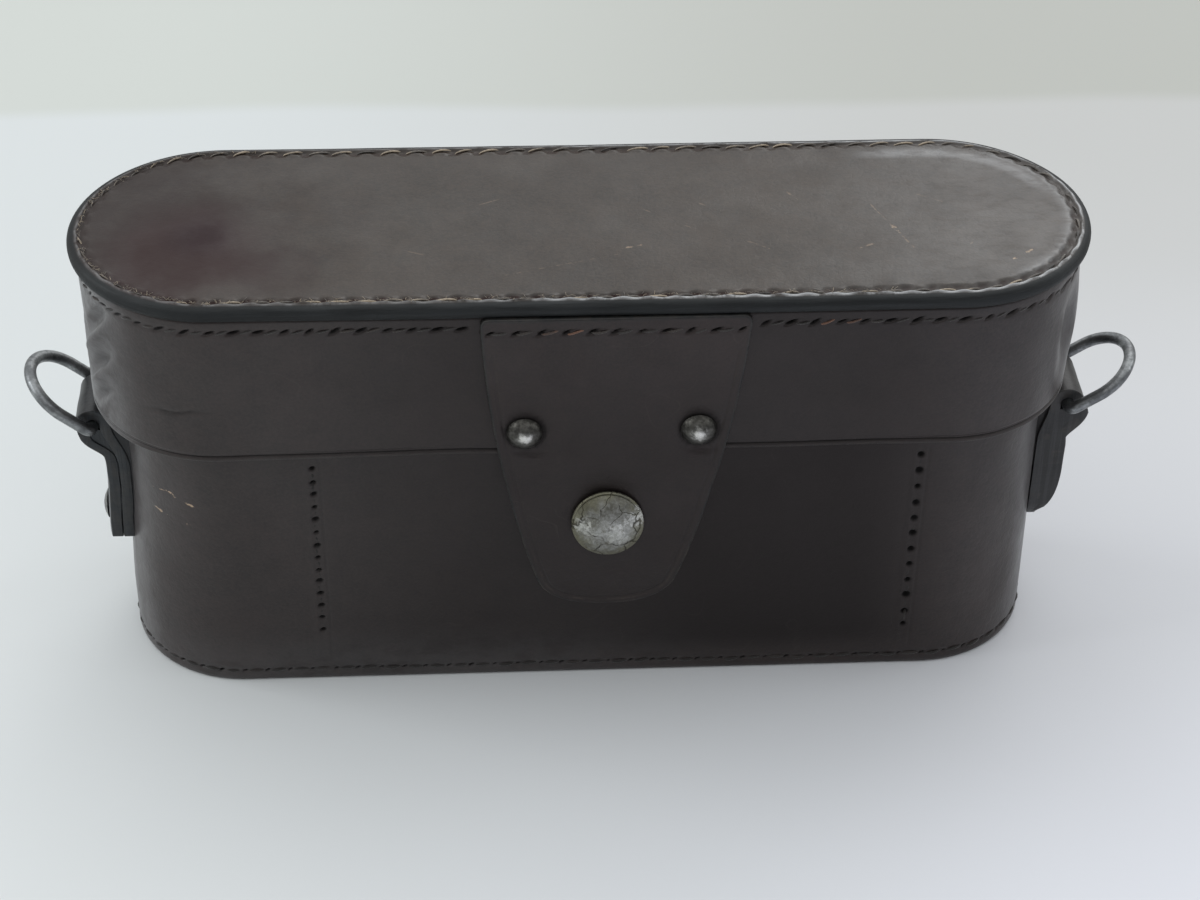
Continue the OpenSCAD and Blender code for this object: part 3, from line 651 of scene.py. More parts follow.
def worn_cap(name, x, z, radius):
    """Nickelled cap: olive tarnish towards the edge, cracks in the plating, painted glints at both sides, and near the
    middle a bright spot that is partly rubbed and partly a painted glint.
    """
    m, at = painted(name)
    d = off_axis(m, at, x, z)
    cloud = m.noise(at, 240, 5, 0.62, distort=0.4)
    spots = m.noise(at, 820, 5, 0.7)
    rim = m.mapped(m.add(d, m.mapped(cloud, 0.3, 0.7, -0.0016, 0.0016)), 0.60 * radius, 1.0 * radius)
    color = m.mix(m.mapped(m.blend(cloud, 0.5, spots), 0.40, 0.60),
                  (0.165, 0.161, 0.138), (0.36, 0.36, 0.345))
    color = m.mix(m.mul(rim, 0.8), color, (0.175, 0.165, 0.105))
    # painted glints at both sides, and near the middle a spot partly rubbed bright and partly a painted glint
    bright = None
    for dx, dz, size in ((0.0052, 0.0018, 0.0024), (-0.0056, 0.0006, 0.0019), (0.0012, -0.0012, 0.0030)):
        b = m.mapped(m.add(off_axis(m, at, x + dx, z + dz), m.mapped(spots, 0.35, 0.65, -0.0014, 0.0014)),
                     size, 0.3 * size)
        bright = m.most(bright, b)
    color = m.mix(m.mul(bright, 0.6), color, (0.60, 0.60, 0.57))
    grit = m.mapped(m.noise(at, 1900, 3, 0.7), 0.42, 0.62)
    color = m.mix(m.mul(grit, 0.35), color, (0.10, 0.095, 0.075))
    stain = m.mapped(m.noise(at, 430, 5, 0.7), 0.56, 0.68)
    color = m.mix(m.mul(stain, 0.6), color, (0.12, 0.105, 0.07))
    shift = m.vector("SCALE", m.new("TexNoise", Vector=at, Scale=260, Detail=3).outputs["Color"], Scale=0.004)
    bent = m.vector("ADD", at, shift.outputs[0])
    cracks = m.mapped(m.cells(bent.outputs[0], 190, "DISTANCE_TO_EDGE"), 0.035, 0.0)
    cracks = m.mul(cracks, m.mapped(m.noise(at, 170, 3, 0.5), 0.44, 0.54))
    color = m.mix(m.mul(cracks, 0.9), color, (0.035, 0.03, 0.02))
    rough = m.add(m.mapped(bright, 0, 1, 0.40, 0.22), m.mul(stain, 0.15))
    return m.wire(Base_Color=color, Metallic=0.92, Roughness=rough,
                  Normal=m.bump((cloud, 0.0006, 0.5), (spots, 0.00012, 0.5), (m.mul(cracks, -1.0), 0.00012, 0.8)))


# ---------------------------------------------------------------- case wall
BODY, LID, RIM = Stadium("case_wall"), Stadium("lid_wall"), Stadium("lid_panel")
BODY_TOP = BODY.high
EDGE_Z, LID_TOP = LID.low, LID.high
RIM_LOW, TOP_Z = RIM.low, RIM.high
LOW_Z = 2.7                          # the seam that holds the bottom
low_row = round_row(BODY.round, 11, tilt=0.5, long=0.95, wide=0.42)
left_row = Row(13, 3.2, 13.4, 12, tilt=1.15, long=1.15, wide=0.75, jitter=0.15)
right_row = Row(11, 4.05, 10.6, 13, tilt=1.45, long=1.20, wide=1.15, jitter=0.12)
DIVIDERS = ((left_row, -53.6), (right_row, 65.8))   # rows that climb the wall, and their x


def wall_height(s, z, x, y):
    """Relief of the case wall, in millimetres outward."""
    p = np.stack([x, y, z * 0.8], -1)
    h = 0.16 * waves(p, 46, 3) + 0.06 * waves(p, 14, 4)
    h *= smooth((z - 0.5) / 6) * 0.8 + 0.2
    h -= 0.16 * bell(z - LOW_Z, 1.2)
    h -= 0.55 * low_row.holes(s, z - LOW_Z)
    h -= 0.25 * smooth((1.4 - z) / 1.4)
    for row, at in DIVIDERS:
        near = np.abs(x - at) < 4
        d = x[near] - at
        inside = smooth((z[near] - 4) / 3) * smooth((58 - z[near]) / 2)
        h[near] -= (0.20 * bell(d - 1.5, 0.4) + 0.14 * bell(d + 1.5, 0.4) + 0.12 * bell(d, 1.4)) * inside
        h[near] -= 0.75 * row.holes(z[near], d)
    return h


def wall_pits(s, z, x):
    """Where shade is painted in the holes of the case wall."""
    pit = low_row.holes(s, z - LOW_Z, HOLE_EDGE)
    for row, at in DIVIDERS:
        near = np.abs(x - at) < 3
        pit[near] = np.maximum(pit[near], row.holes(z[near], x[near] - at, 0.9))
    return smooth(pit * 2.2)


def lean(points):
    """The round ends of the case wall lean: the left one inward, the right one a little outward
    at its foot and inward above."""
    x, z = points[..., 0], points[..., 2]
    left, right = 0.1 + 2.2 * smooth((z - 10) / 36), 0.45 - 0.85 * smooth((z - 6) / 46)
    shift = np.where(x < 0, left, right) * smooth((np.abs(x) - 66) / 26)
    return points + shift[..., None] * [1, 0, 0]


def front_shade(x, y):
    """Where painted shade is darkest: on the front, right of the middle."""
    return smooth((x + 62) / 45) * smooth((80 - x) / 26) * smooth(-y / 8)


t_wall = BODY.r - extent("bottom_panel")[1][1] - 0.1
points, faces = band(BODY, wall_section(t_wall, 0, BODY_TOP, EDGE_R, 0.9), int(round(BODY.round / STEP)))


def hole_zone(c):
    """Outer faces with centres c round the stitch holes."""
    x, y, z = c.T
    tall = np.any([np.abs(x - at) < 1.9 for _, at in DIVIDERS], axis=0) & (z < 58.5) & (z > 5)
    return (BODY.locate(x, y)[1] < 0.3) & (tall | (np.abs(z - LOW_Z) < 1.8))


points, faces = refined(points, faces, hole_zone, 3)
s, inset, n = BODY.locate(points[:, 0], points[:, 1])
x, y, z = points.T
share = smooth(1 - inset / EDGE_R)   # 1 on the outer face
h = wall_height(s, z, x, y) * share
flesh = smooth((inset - t_wall * 0.5) / 0.6)
pit = wall_pits(s, z, x) * share
edge = bell(z - BODY_TOP, 1.2)
wear = 0.25 * bell(z, 1.1) * share + 0.5 * edge
points[:, :2] += n * h[:, None]
points = lean(points)
# painted shade on the front right of the middle, fading out at the foot; painted sheen at both round ends and on the
# front left near the foot
shade = front_shade(x, y) * (0.6 + 0.4 * smooth((x + 10) / 40)) * smooth((z - 1) / 9)
ends_painted_sheen = 0.18 * smooth((-x - 86) / 8) + 0.23 * smooth((x - 87) / 7)
foot_painted_sheen = 0.065 * smooth((16 - z) / 14) * smooth((40 - x) / 60) * smooth(-y / 4)
make("case_shell", points, faces, body_leather, "case", "case_wall", "bridle_leather", pit=pit, flesh=flesh,
     gloss=(ends_painted_sheen + foot_painted_sheen) * share, wear=wear, burnish=edge * 0.6, shade=shade * (1 - flesh))


def on_wall(outline, z, rivet_ring_shade, bent):
    """Row round a wall at the height z, whose thread lies that deep."""
    def where(s, t, h):
        p, n = outline.at(s)
        return bent(np.concatenate([p + n * (h - rivet_ring_shade)[..., None], (z + t)[..., None]], -1))
    return where


def on_front(at, side):
    """Row that climbs the case wall at x = at; side is -1 in front and 1 behind."""
    def where(s, t, h):
        return np.stack([at + t, side * (BODY.r + h - 0.35), s], -1)
    return where


thread("thread_bottom", low_row, on_wall(BODY, LOW_Z, 0.22, lean), dark_thread, "case", radius=0.34, rise=0.16,
       slant=0.2, seed=21)
for (row, at), label in zip(DIVIDERS, ("left", "right")):
    for side, word in ((-1, "front"), (1, "back")):
        thread(f"thread_divider_{label}_{word}", row, on_front(at, side), dark_thread, "case", "divider_leather",
               radius=0.30, rise=0.02, slant=0.05, seed=30 + side, gap=0.12)


# ---------------------------------------------------------------- lid wall
SIDE_Z = LID_TOP - 2.75              # the seam below the rim
TOOLED = EDGE_Z + 1.15               # the line tooled round the lower edge
side_row = round_row(LID.round, 14, tilt=0.46, long=1.85, wide=0.50)
# creases of the left end: z, y, slope, half width, half length, depth
CREASES = ((84, -14, -1.2, 2.2, 9, 1.5), (80, -14, -1.3, 2.0, 11, -1.3), (75.5, -15, -1.2, 1.7, 9, 1.4),
           (71.5, -14, -1.0, 1.6, 8, -1.0), (68, -15, -0.9, 1.4, 7, 0.9), (80, -4, 0.6, 2.2, 7, 0.8),
           (71, -2, 0.9, 1.8, 8, 0.8))
RIVET_LOW, RIVET_HIGH = extent("tongue_rivets")
TONGUE_X = (RIVET_LOW[0] + RIVET_HIGH[0]) / 2


def fine_crease(x, y, z):
    """A fine crease near the left end of the front."""
    path = 71.3 + 0.09 * (x + 78) + 0.35 * np.sin(x * 0.9)
    return bell(z - path, 0.6) * smooth((y + 22) / -3) * bell(x + 78, 9)


def lid_height(s, z, x, y):
    """Relief of the lid wall, in millimetres outward."""
    p = np.stack([x, y, z], -1)
    h = 0.20 * waves(p, 40, 5) + 0.07 * waves(p, 12, 6)
    h *= smooth((LID_TOP - z) / 6) * 0.8 + 0.2
    h -= 0.34 * bell(z - TOOLED, 0.30) + 0.12 * bell(z - TOOLED, 0.9)
    h -= (0.10 + 0.10 * np.sin(x / 9)) * bell(z - TOOLED - 0.6, 0.25)
    h -= (0.85 - 0.6 * smooth((-x - 70) / 14)) * side_row.holes(s, z - SIDE_Z)
    h -= 0.12 * bell(z - SIDE_Z, 1.3)
    left = smooth((-x - 86) / 8)
    for z0, y0, slope, wide, reach, deep in CREASES:
        across = ((z - z0) - slope * (y - y0)) / math.hypot(1, slope)
        along = ((y - y0) + slope * (z - z0)) / math.hypot(1, slope)
        h -= 1.25 * deep * left * bell(across, wide) * bell(along, reach)
    h -= 0.30 * fine_crease(x, y, z)
    # the dent in the right end, and the ridge beside it
    right = smooth((x - 84) / 8)
    h -= 1.5 * right * bell(y + 12, 5.0) * bell(z - 77, 13)
    h += 0.7 * right * bell(y + 6.5, 4.0) * bell(z - 76, 14)
    return h


def warp(points):
    """The lid has sagged: its top rises and its lower edge drops towards the left."""
    x, z = points[..., 0], points[..., 2]
    up = 0.006 * np.maximum(-x - 25, 0) * smooth((z - EDGE_Z - 8) / 20)
    down = (0.12 + 0.5 * smooth((-x - 25) / 50)) * smooth((EDGE_Z + 14 - z) / 14)
    return points + (up - down)[..., None] * [0, 0, 1]


t_lid = LID.r - extent("lid_lining")[1][1] - 0.2
points, faces = band(LID, wall_section(t_lid, EDGE_Z, LID_TOP, EDGE_R, 0.55, 0.45, 2.2),
                     int(round(LID.round / STEP)))
points, faces = refined(points, faces, lambda c: (np.abs(c[:, 2] - SIDE_Z) < 1.5)
                        & (LID.locate(c[:, 0], c[:, 1])[1] < 0.3), 2)
s, inset, n = LID.locate(points[:, 0], points[:, 1])
x, y, z = points.T
share = smooth(1 - inset / EDGE_R)
points[:, :2] += n * (lid_height(s, z, x, y) * share)[:, None]
edge = bell(z - EDGE_Z, 0.9)
# the tooled groove and the fine crease are painted dark as shade
groove_shade = np.maximum(bell(z - TOOLED, 0.42) * share, fine_crease(x, y, z))
flesh = smooth((inset - t_lid * 0.5) / 0.6)
# painted sheen at the left end and at the front of the right end, and painted shade on the front right of the middle
make("lid_shell", warp(points), faces, wall_leather, "lid", "lid_wall", "bridle_leather",
     pit=np.maximum(smooth(side_row.holes(s, z - SIDE_Z, HOLE_EDGE) * 2.2), 0.55 * groove_shade) * share,
     gloss=0.21 * smooth((-x - 84) / 12) * share + 0.17 * smooth((x - 86) / 6) * bell(y + 7, 6) * share,
     flesh=flesh, wear=edge * 0.35, burnish=edge * 0.4, shade=0.6 * front_shade(x, y) * (1 - flesh))


def beside_tongue(s):
    """Whether s lies clear of the tongue."""
    s = np.mod(s + LID.round / 2, LID.round) - LID.round / 2
    return np.abs(s - TONGUE_X) > 27.5


thread("thread_side", side_row, on_wall(LID, SIDE_Z, 0.12, warp), side_thread, "lid", radius=0.25, rise=0.12,
       slant=0.5, seed=22, keep=beside_tongue, gap=0.12, flat=0.6, tone=lambda s: 0.25 + 0.6 * bell(s - 47, 9))

# ---------------------------------------------------------------- lid panel
TOP_INSET = 2.75                     # of the thread, from the rim
SLIT_IN = 0.6                        # the slits lie inside the thread
top_row = round_row(RIM.round - 2 * math.pi * 3.4, 15, tilt=-0.16, long=2.15, wide=1.0, jitter=0.25)
top_row.pitch = RIM.round / top_row.count   # s is measured on the rim, outside the seam
panel_t = TOP_Z - RIM_LOW
r_rim = panel_t / 2 - 0.1
inset_steps = np.concatenate([np.linspace(r_rim, 4.6, 24), np.linspace(5.2, RIM.r - 2, 19), [RIM.r - 0.001]])
lower = np.stack([np.linspace(RIM.r - 0.001, r_rim, 12)[:-1], np.full(11, RIM_LOW)], -1)
upper = np.stack([inset_steps[1:], np.full(len(inset_steps) - 1, TOP_Z)], -1)
section = np.concatenate([lower, corner((r_rim, RIM_LOW + r_rim), r_rim, 270, 180, 8),
                          corner((r_rim, TOP_Z - r_rim), r_rim, 180, 90, 10), upper])
points, faces = band(RIM, section, top_row.count * 6, False)
points, faces = refined(points, faces, lambda c: (c[:, 2] > TOP_Z - 0.1)
                        & (np.abs(RIM.locate(c[:, 0], c[:, 1])[1] - TOP_INSET - 0.2) < 1.2), 2)
points, faces = welded(points, faces)
x, y, z = points.T
s, inset, n = RIM.locate(x, y)
top = smooth((z - RIM_LOW - 1.5) / 2)
on_top = smooth((inset - 0.5) / 1.0) * top
h = 0.16 * waves(points, 50, 7) + 0.07 * waves(points, 13, 8)
h *= smooth((inset - 5) / 6)
h += 0.45 * smooth((inset - 3.6) / 14) - 0.15
crest = 1.95 + 0.12 * np.sin(2 * np.pi * s / top_row.pitch)
h += (0.30 + 0.08 * np.sin(2 * np.pi * s / top_row.pitch) + 0.10 * waves(points, 6, 41)) * bell(inset - crest, 0.65)
h -= 0.22 * bell(inset - TOP_INSET, 0.8)
seam = smooth((inset - 3.2) / 1.2) * smooth((11 - inset) / 7)
h += 0.16 * waves(points, 7, 42) * seam * (0.35 + 0.65 * smooth((x - 30) / 40))
h += 0.35 * seam * smooth((x - 40) / 25)
open_here = (0.15 + 0.85 * smooth((x + 86) / 10)) * (1 - 0.55 * smooth((x - 10) / 45)) * (1 - 0.5 * smooth(y / 6))
slit = top_row.holes(s, TOP_INSET + SLIT_IN - inset) * open_here
h -= 0.55 * slit
h += 0.20 * np.cos(2 * np.pi * (s / top_row.pitch - 0.5)) * bell(inset - TOP_INSET - 1.0, 1.0)
points[:, 2] += h * on_top
points[:, :2] += n * ((0.10 * waves(points, 25, 9) - 0.10) * smooth((2.2 - inset) / 1.0))[:, None]
# painted shade in the slits
pit = 0.85 * smooth(top_row.holes(s, TOP_INSET + SLIT_IN - inset, HOLE_EDGE) * 2.0) * on_top * open_here
rim = smooth((1.8 - inset) / 0.6)
# a painted highlight along the crest outside the thread; painted sheen at the back right and along the right end, where
# the surface is wrinkled
ridge_highlight = bell(inset - crest + 0.1, 0.48) * smooth(top * 1.6) * (0.30 + 0.70 * smooth((x + 35) / 40))
sheen = np.maximum(0.46 * bell(inset - 6.8, 2.6) * smooth((x - 50) / 14) * smooth((y - 3) / 8),
                   0.40 * bell(inset - 4.6, 1.4) * smooth((x - 76) / 8)) * on_top
points[:, 2] += 0.24 * sheen * waves(points * [1, 1.7, 1], 3.2, 91)
# painted shade on the rim; painted sheen that grows towards the right of the top
make("lid_top", warp(points), faces, lid_leather, "lid", "lid_panel", "bridle_leather", pit=pit,
     flesh=smooth((RIM_LOW + 0.3 - z) / 0.3) * smooth((inset - 3) / 1), burnish=rim, shade=0.6 * rim,
     polish=np.maximum(ridge_highlight, 0.45 * sheen),
     gloss=np.maximum(0.85 * sheen, 0.105 * smooth((x - 35) / 55) * on_top * (1 - rim)))


def on_top_row(s, t, h):
    """Row round the lid panel."""
    p, n = RIM.at(s)
    p = p - n * (TOP_INSET - t)[..., None]
    return warp(np.concatenate([p, (TOP_Z + h - 0.30)[..., None]], -1))


def bare(s):
    """Tone along the row round the lid: bare on the left, grey and dirty on the right."""
    x = RIM.at(s)[0][:, 0]
    return 0.46 + 0.20 * bell(x + 30, 60) + 0.14 * bell(x + 72, 14)


def left_end(s):
    """Whether s lies in the left end, where the thread is worn down."""
    x, y = RIM.at(s)[0].T
    return x + 0.5 * np.maximum(y, 0) < -70


thread("thread_top", top_row, on_top_row, worn_thread, "lid", radius=0.23, rise=0.28, slant=-0.34, seed=23,
       keep=lambda s: ~left_end(s), gone=0.04, gap=0.01, aside=0.10, bow=0.10, tone=bare)
thread("thread_top_left", top_row, on_top_row, worn_thread, "lid", radius=0.15, rise=0.16, slant=-0.30, seed=27,
       keep=left_end, gone=0.12, gap=0.16, aside=0.10, bow=0.10, tone=bare)


def fray(name, where, places, material, body, slot, seed):
    """Loose ends of fibre that stand up from the thread at places along its row."""
    r = np.random.default_rng(seed)
    points, faces, tones = [], [], []
    u = np.linspace(0, 1, 7)
    for at in places:
        for _ in range(r.integers(2, 5)):
            length, turn = r.uniform(0.5, 1.5), r.uniform(-1.6, 1.6)
            t0, s0 = r.normal(0.1, 0.12), at + r.normal(0, 0.5)
            s = s0 + length * np.sin(turn) * u + r.normal(0, 0.12, 7) * u
            t = t0 + length * np.cos(turn) * u * r.choice([-1, 1]) * 0.8 + r.normal(0, 0.08, 7) * u
            h = 0.35 + 0.35 * np.sin(np.pi * u * 0.7) * r.uniform(0.3, 1)
            line = where(s, t, h)
            base = len(points)
            for i, c in enumerate(line):
                w = 0.095 * (1 - 0.6 * u[i])
                points += [c + [w, 0, 0], c + [-w / 2, 0.87 * w, 0.3 * w], c + [-w / 2, -0.87 * w, w]]
            for i in range(6):
                for j in range(3):
                    a, b = base + 3 * i + j, base + 3 * i + (j + 1) % 3
                    faces.append([a, b, b + 3, a + 3])
            faces += [[base + 2, base + 1, base], [base + 18, base + 19, base + 20]]
            tones += [r.uniform(0.5, 1.0)] * 21
    return make(name, points, faces, material, body, slot=slot, tone=tones)


places = [top_row.start + (k + f) * top_row.pitch for k in range(-34, 12) for f in (0.15, 0.5)]
places += [top_row.start + k * top_row.pitch for k in (-17, -16, -16, -15, -14, -12, -9, -13, -18, -20)]
fray("thread_fray", on_top_row, places, worn_thread, "lid", "bridle_leather", 77)


# ---------------------------------------------------------------- straps of leather
def path_length(path):
    """Length of a line of points."""
    return float(np.linalg.norm(np.diff(np.array(path), axis=0), axis=1).sum())


def rounded_half(half, run, r):
    """Half the width, at a length v, of a strap with that half width and length, and corners of
    radius r."""
    def width(v):
        up = np.clip(r - np.minimum(v, run - v), 0, r)
        return half - (r - np.sqrt(np.maximum(r * r - up * up, 0)))
    return width


def strip(path, half, t, edge, vs, cols):
    """A strap of thickness t along path, a line in the plane across which it is wide, with edges
    rounded to the radius edge. half(v) is half its width at the length v. Its rows of cols points
    lie at vs, shares of the path. Returns its points as (across, p, q), the outward directions,
    faces, and each point's place across (x), length (v), distance to the edge (d) and side."""
    path = np.asarray(path, float)
    run = np.concatenate([[0], np.cumsum(np.linalg.norm(np.diff(path, axis=0), axis=1))])
    vs = np.asarray(vs, float) * run[-1]

    def centre(v):
        return np.stack([np.interp(v, run, path[:, 0]), np.interp(v, run, path[:, 1])], -1)

    d = centre(np.minimum(vs + 0.4, run[-1])) - centre(np.maximum(vs - 0.4, 0))
    d /= np.linalg.norm(d, axis=1, keepdims=True)
    out = np.stack([-d[:, 1], d[:, 0]], -1)
    a = np.sin(np.linspace(-1, 1, cols) * np.pi / 2)
    w = half(vs)
    across = w[:, None] * a[None]
    v = np.broadcast_to(vs[:, None], across.shape)
    line = np.concatenate([np.stack([-w, vs], -1), np.stack([w, vs], -1)[::-1]])
    line = np.concatenate([line, line[:1]])
    flat = np.stack([across.ravel(), v.ravel()], -1)
    best = np.full(len(flat), 1e9)
    for p0, p1 in zip(line[:-1], line[1:]):
        seg = p1 - p0
        k = np.clip(((flat - p0) @ seg) / max(seg @ seg, 1e-12), 0, 1)
        best = np.minimum(best, np.linalg.norm(flat - p0 - k[:, None] * seg, axis=1))
    lift = t / 2 - edge + np.sqrt(np.maximum(edge ** 2 - (edge - np.minimum(best, edge)) ** 2, 0))
    lift = lift.reshape(across.shape)
    c = centre(vs)[:, None]
    sides = []
    for side in (1, -1):
        pq = c + side * lift[..., None] * out[:, None]
        sides.append(np.concatenate([across[..., None], pq], -1).reshape(-1, 3))
    nr = len(vs)
    front = grid_faces(nr, cols)
    size = nr * cols
    faces = front.tolist() + (front[:, ::-1] + size).tolist()
    loop = ([i * cols for i in range(nr)] + [(nr - 1) * cols + i for i in range(1, cols)]
            + [i * cols + cols - 1 for i in range(nr - 2, -1, -1)] + list(range(cols - 2, 0, -1)))
    for i, j in zip(loop, loop[1:] + loop[:1]):
        faces.append([i, j, j + size, i + size])
    outward = np.concatenate([np.zeros((nr, cols, 1)), np.broadcast_to(out[:, None], (nr, cols, 2))], -1)
    outward = outward.reshape(-1, 3)
    return {"points": np.concatenate(sides), "out": np.concatenate([outward, outward]), "faces": faces,
            "x": np.tile(across.ravel(), 2), "v": np.tile(v.ravel(), 2), "d": np.tile(best, 2),
            "side": np.repeat([1.0, -1.0], size)}


# ---------------------------------------------------------------- tongue
ROOT_LOW, ROOT_HIGH = extent("tongue_root")
CAP_LOW, CAP_HIGH = extent("snap_cap")
TONGUE_T = ROOT_HIGH[1] - ROOT_LOW[1]
TONGUE_Y = (ROOT_HIGH[1] + ROOT_LOW[1]) / 2
TONGUE_TOP, TONGUE_END = LID_TOP + 0.30, extent("tongue_flap")[0][2]
REACH = TONGUE_TOP - TONGUE_END
TOP_HALF = (ROOT_HIGH[0] - ROOT_LOW[0]) / 2
TONGUE_CORNER = 1.8
NOSE_HALF, NOSE_H, NOSE_POWER = 13.9, 7.0, 2.6
TONGUE_LEAN = 0.018                  # it hangs a little to one side
CAP_Z = (CAP_LOW[2] + CAP_HIGH[2]) / 2
RIVET_Z = (RIVET_LOW[2] + RIVET_HIGH[2]) / 2
RIVET_R = (RIVET_HIGH[2] - RIVET_LOW[2]) / 2
RIVET_DX = (RIVET_HIGH[0] - RIVET_LOW[0]) / 2 - RIVET_R
HOLE_ROW = Row(10, PITCH, -5 * PITCH, 16, tilt=0.55, long=1.60, wide=0.52)
CAP_TILT = math.radians(8.5)
LEATHER_TILT = math.tan(math.radians(2.4))


def tongue_half(v):
    """Half width at the length v from the top: a taper that steepens, then the nose."""
    straight = REACH - NOSE_H
    k = v / straight
    w = TOP_HALF - (TOP_HALF - NOSE_HALF) * (0.29 * k + 0.71 * k * k)
    low = np.clip((v - straight) / NOSE_H, 0, 1)
    w = w * (1 - low ** NOSE_POWER) ** (1 / NOSE_POWER)
    up = np.clip(TONGUE_CORNER - v, 0, TONGUE_CORNER)
    return np.maximum(w - (TONGUE_CORNER - np.sqrt(TONGUE_CORNER ** 2 - up ** 2)), 0.0)


body_rows = np.linspace(1.2, REACH - NOSE_H, 76)
nose_rows = REACH - NOSE_H + NOSE_H * np.sin(np.linspace(0, np.pi / 2, 30))[1:]
rows = np.concatenate([[0, 0.06, 0.16, 0.32, 0.55, 0.85], np.linspace(1.15, 4.75, 22),
                       body_rows[body_rows > 4.9], nose_rows]) / REACH
path = [[TONGUE_Y, TONGUE_TOP - k] for k in np.linspace(0, REACH, 60)]
tongue = strip(path, tongue_half, TONGUE_T, TONGUE_T / 3, rows, 121)
pts = tongue["points"]
xx, zz, d, front = tongue["x"], pts[:, 2].copy(), tongue["d"], tongue["side"] < 0
h = 0.12 * waves(np.stack([xx, zz], -1), 26, 31) + 0.05 * waves(np.stack([xx, zz], -1), 9, 32)
h *= smooth(d / 3)
h -= 0.20 * bell(d - 1.9, 0.5) * smooth((86 - zz) / 3)
rivet_ring_shade = np.zeros(len(pts))            # painted shade in rings round them
for k in (-1, 1):                    # dents and puckers round the two rivets
    r = np.hypot(xx - k * RIVET_DX, zz - RIVET_Z)
    rivet_ring_shade += 0.55 * smooth((RIVET_R + 1.0 - r) / 0.7)
    h -= 0.40 * smooth((RIVET_R + 2.6 - r) / 3.2)
    off = xx - k * RIVET_DX - 1.2
    h += 0.26 * bell(zz - RIVET_Z + 6.2 - 0.02 * off ** 2, 1.4) * bell(off, 7.0)
    h -= 0.36 * bell(zz - RIVET_Z + 4.7 - 0.025 * off ** 2, 1.1) * bell(off, 6.5)
r = np.hypot(xx, zz - CAP_Z)
h -= 0.16 * smooth((9.2 - r) / 2.4)
tilted = -LEATHER_TILT * (zz - CAP_Z) * smooth((12.5 - r) / 5.5)
h += tilted
h -= 0.10 * bell(zz - SIDE_Z, 1.3) + 0.85 * HOLE_ROW.holes(xx, zz - SIDE_Z)
h = np.where(front, h, tilted) * smooth(d / 0.6)
bend_in = 0.5 * smooth((59 - zz) / 8) * smooth((zz - 44) / 8) + 1.3 * smooth((37 - zz) / 14) ** 1.3
pts[:, 1] += bend_in - h
pts[:, 0] += TONGUE_X + TONGUE_LEAN * (zz - 57)
pit = np.maximum(smooth(HOLE_ROW.holes(xx, zz - SIDE_Z, HOLE_EDGE) * 2.2), rivet_ring_shade) * front
wear = bell(d, 0.7) * (0.25 + 0.5 * smooth((44 - zz) / 12)) + 0.35 * bell(d - 1.3, 0.4) * smooth((40 - zz) / 10)
# painted shade over the tongue, darker towards the bottom; painted shade in the holes and round the rivets
tongue_ob = make("tongue", pts, tongue["faces"], strap_leather, None, ("tongue_root", "tongue_flap"),
                 "bridle_leather", pit=pit, wear=wear, burnish=bell(d, 0.8),
                 flesh=~front * smooth((d - 0.2) / 0.5), shade=0.34 + 0.29 * smooth((88 - zz) / 24))
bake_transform(tongue_ob)


def on_tongue(s, t, h):
    """Row across the top of the tongue."""
    return np.stack([TONGUE_X + s, ROOT_LOW[1] - h + 0.12, SIDE_Z + t], -1)


thread("thread_tongue", HOLE_ROW, on_tongue, side_thread, "lid", radius=0.26, rise=0.16, slant=0.45, seed=24,
       gap=0.10, flat=0.6, tone=lambda s: 0.25 + 0.75 * bell(s + 7, 12))

# ---------------------------------------------------------------- hinge
HINGE_LOW, HINGE_HIGH = extent("hinge_lower")
UPPER_LOW, UPPER_HIGH = extent("hinge_upper")
HINGE_T = UPPER_HIGH[1] - UPPER_LOW[1]
AXIS = joint_at("lid_hinge")
flat_y = BODY.r + 0.1 + HINGE_T / 2
path = [[flat_y, z] for z in np.linspace(HINGE_LOW[2], 49.5, 16)]
path += [[flat_y + (AXIS[1] - flat_y) * smooth(k), 49.5 + 12.5 * k] for k in np.linspace(0, 1, 22)[1:]]
path += [[AXIS[1], z] for z in np.linspace(62.5, UPPER_HIGH[2], 14)]
run = path_length(path)
ends = np.array([0, 0.06, 0.16, 0.32, 0.55, 0.85, 1.3, 1.9, 2.6, 3.4, 4.2])
rows = np.concatenate([ends, np.linspace(5, run - 5, 60), run - ends[::-1]]) / run
hinge = strip(path, rounded_half((HINGE_HIGH[0] - HINGE_LOW[0]) / 2, run, 5.0), HINGE_T, HINGE_T / 2, rows, 51)
pts, d, outside = hinge["points"], hinge["d"], hinge["side"] < 0
h = 0.10 * waves(np.stack([hinge["x"], hinge["v"]], -1), 24, 33) * smooth(d / 3) - 0.2 * bell(d - 1.9, 0.5)
pts -= hinge["out"] * (np.where(outside, h, 0) * smooth(d / 0.6))[:, None]
hinge_ob = make("hinge_strap", pts, hinge["faces"], strap_leather, None, ("hinge_lower", "hinge_upper"),
                "bridle_leather", wear=bell(d, 0.9) * 0.55, burnish=bell(d, 1.0),
                flesh=~outside * smooth((d - 0.2) / 0.5))
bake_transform(hinge_ob)


def on_back(y, z):
    """Row across the hinge, whose face lies at y."""
    def where(s, t, h):
        return np.stack([s, np.full_like(s, y) + h - 0.1, z + t], -1)
    return where


hinge_row = Row(14, 4.5, -7 * 4.5, 17, tilt=0.5, long=0.9, wide=0.42)
lower_y = BODY.r + 0.1 + HINGE_T
for label, body, y, z in (("upper", "lid", UPPER_HIGH[1], UPPER_HIGH[2] - 3.4),
                          ("upper_low", "lid", UPPER_HIGH[1], 67.0),
                          ("lower", "case", lower_y, HINGE_LOW[2] + 3.4),
                          ("lower_high", "case", lower_y, 46.5)):
    thread("thread_hinge_" + label, hinge_row, on_back(y, z), dark_thread, body, radius=0.34, rise=0.22,
           slant=0.3, seed=40)

# ---------------------------------------------------------------- ring loops
LOOP_T, SEAT, BORE = 2.3, 0.1, 1.3   # leather, its gap to the wall, radius of the ring's bore
CORNER_R = 0.5                       # of a square strap end
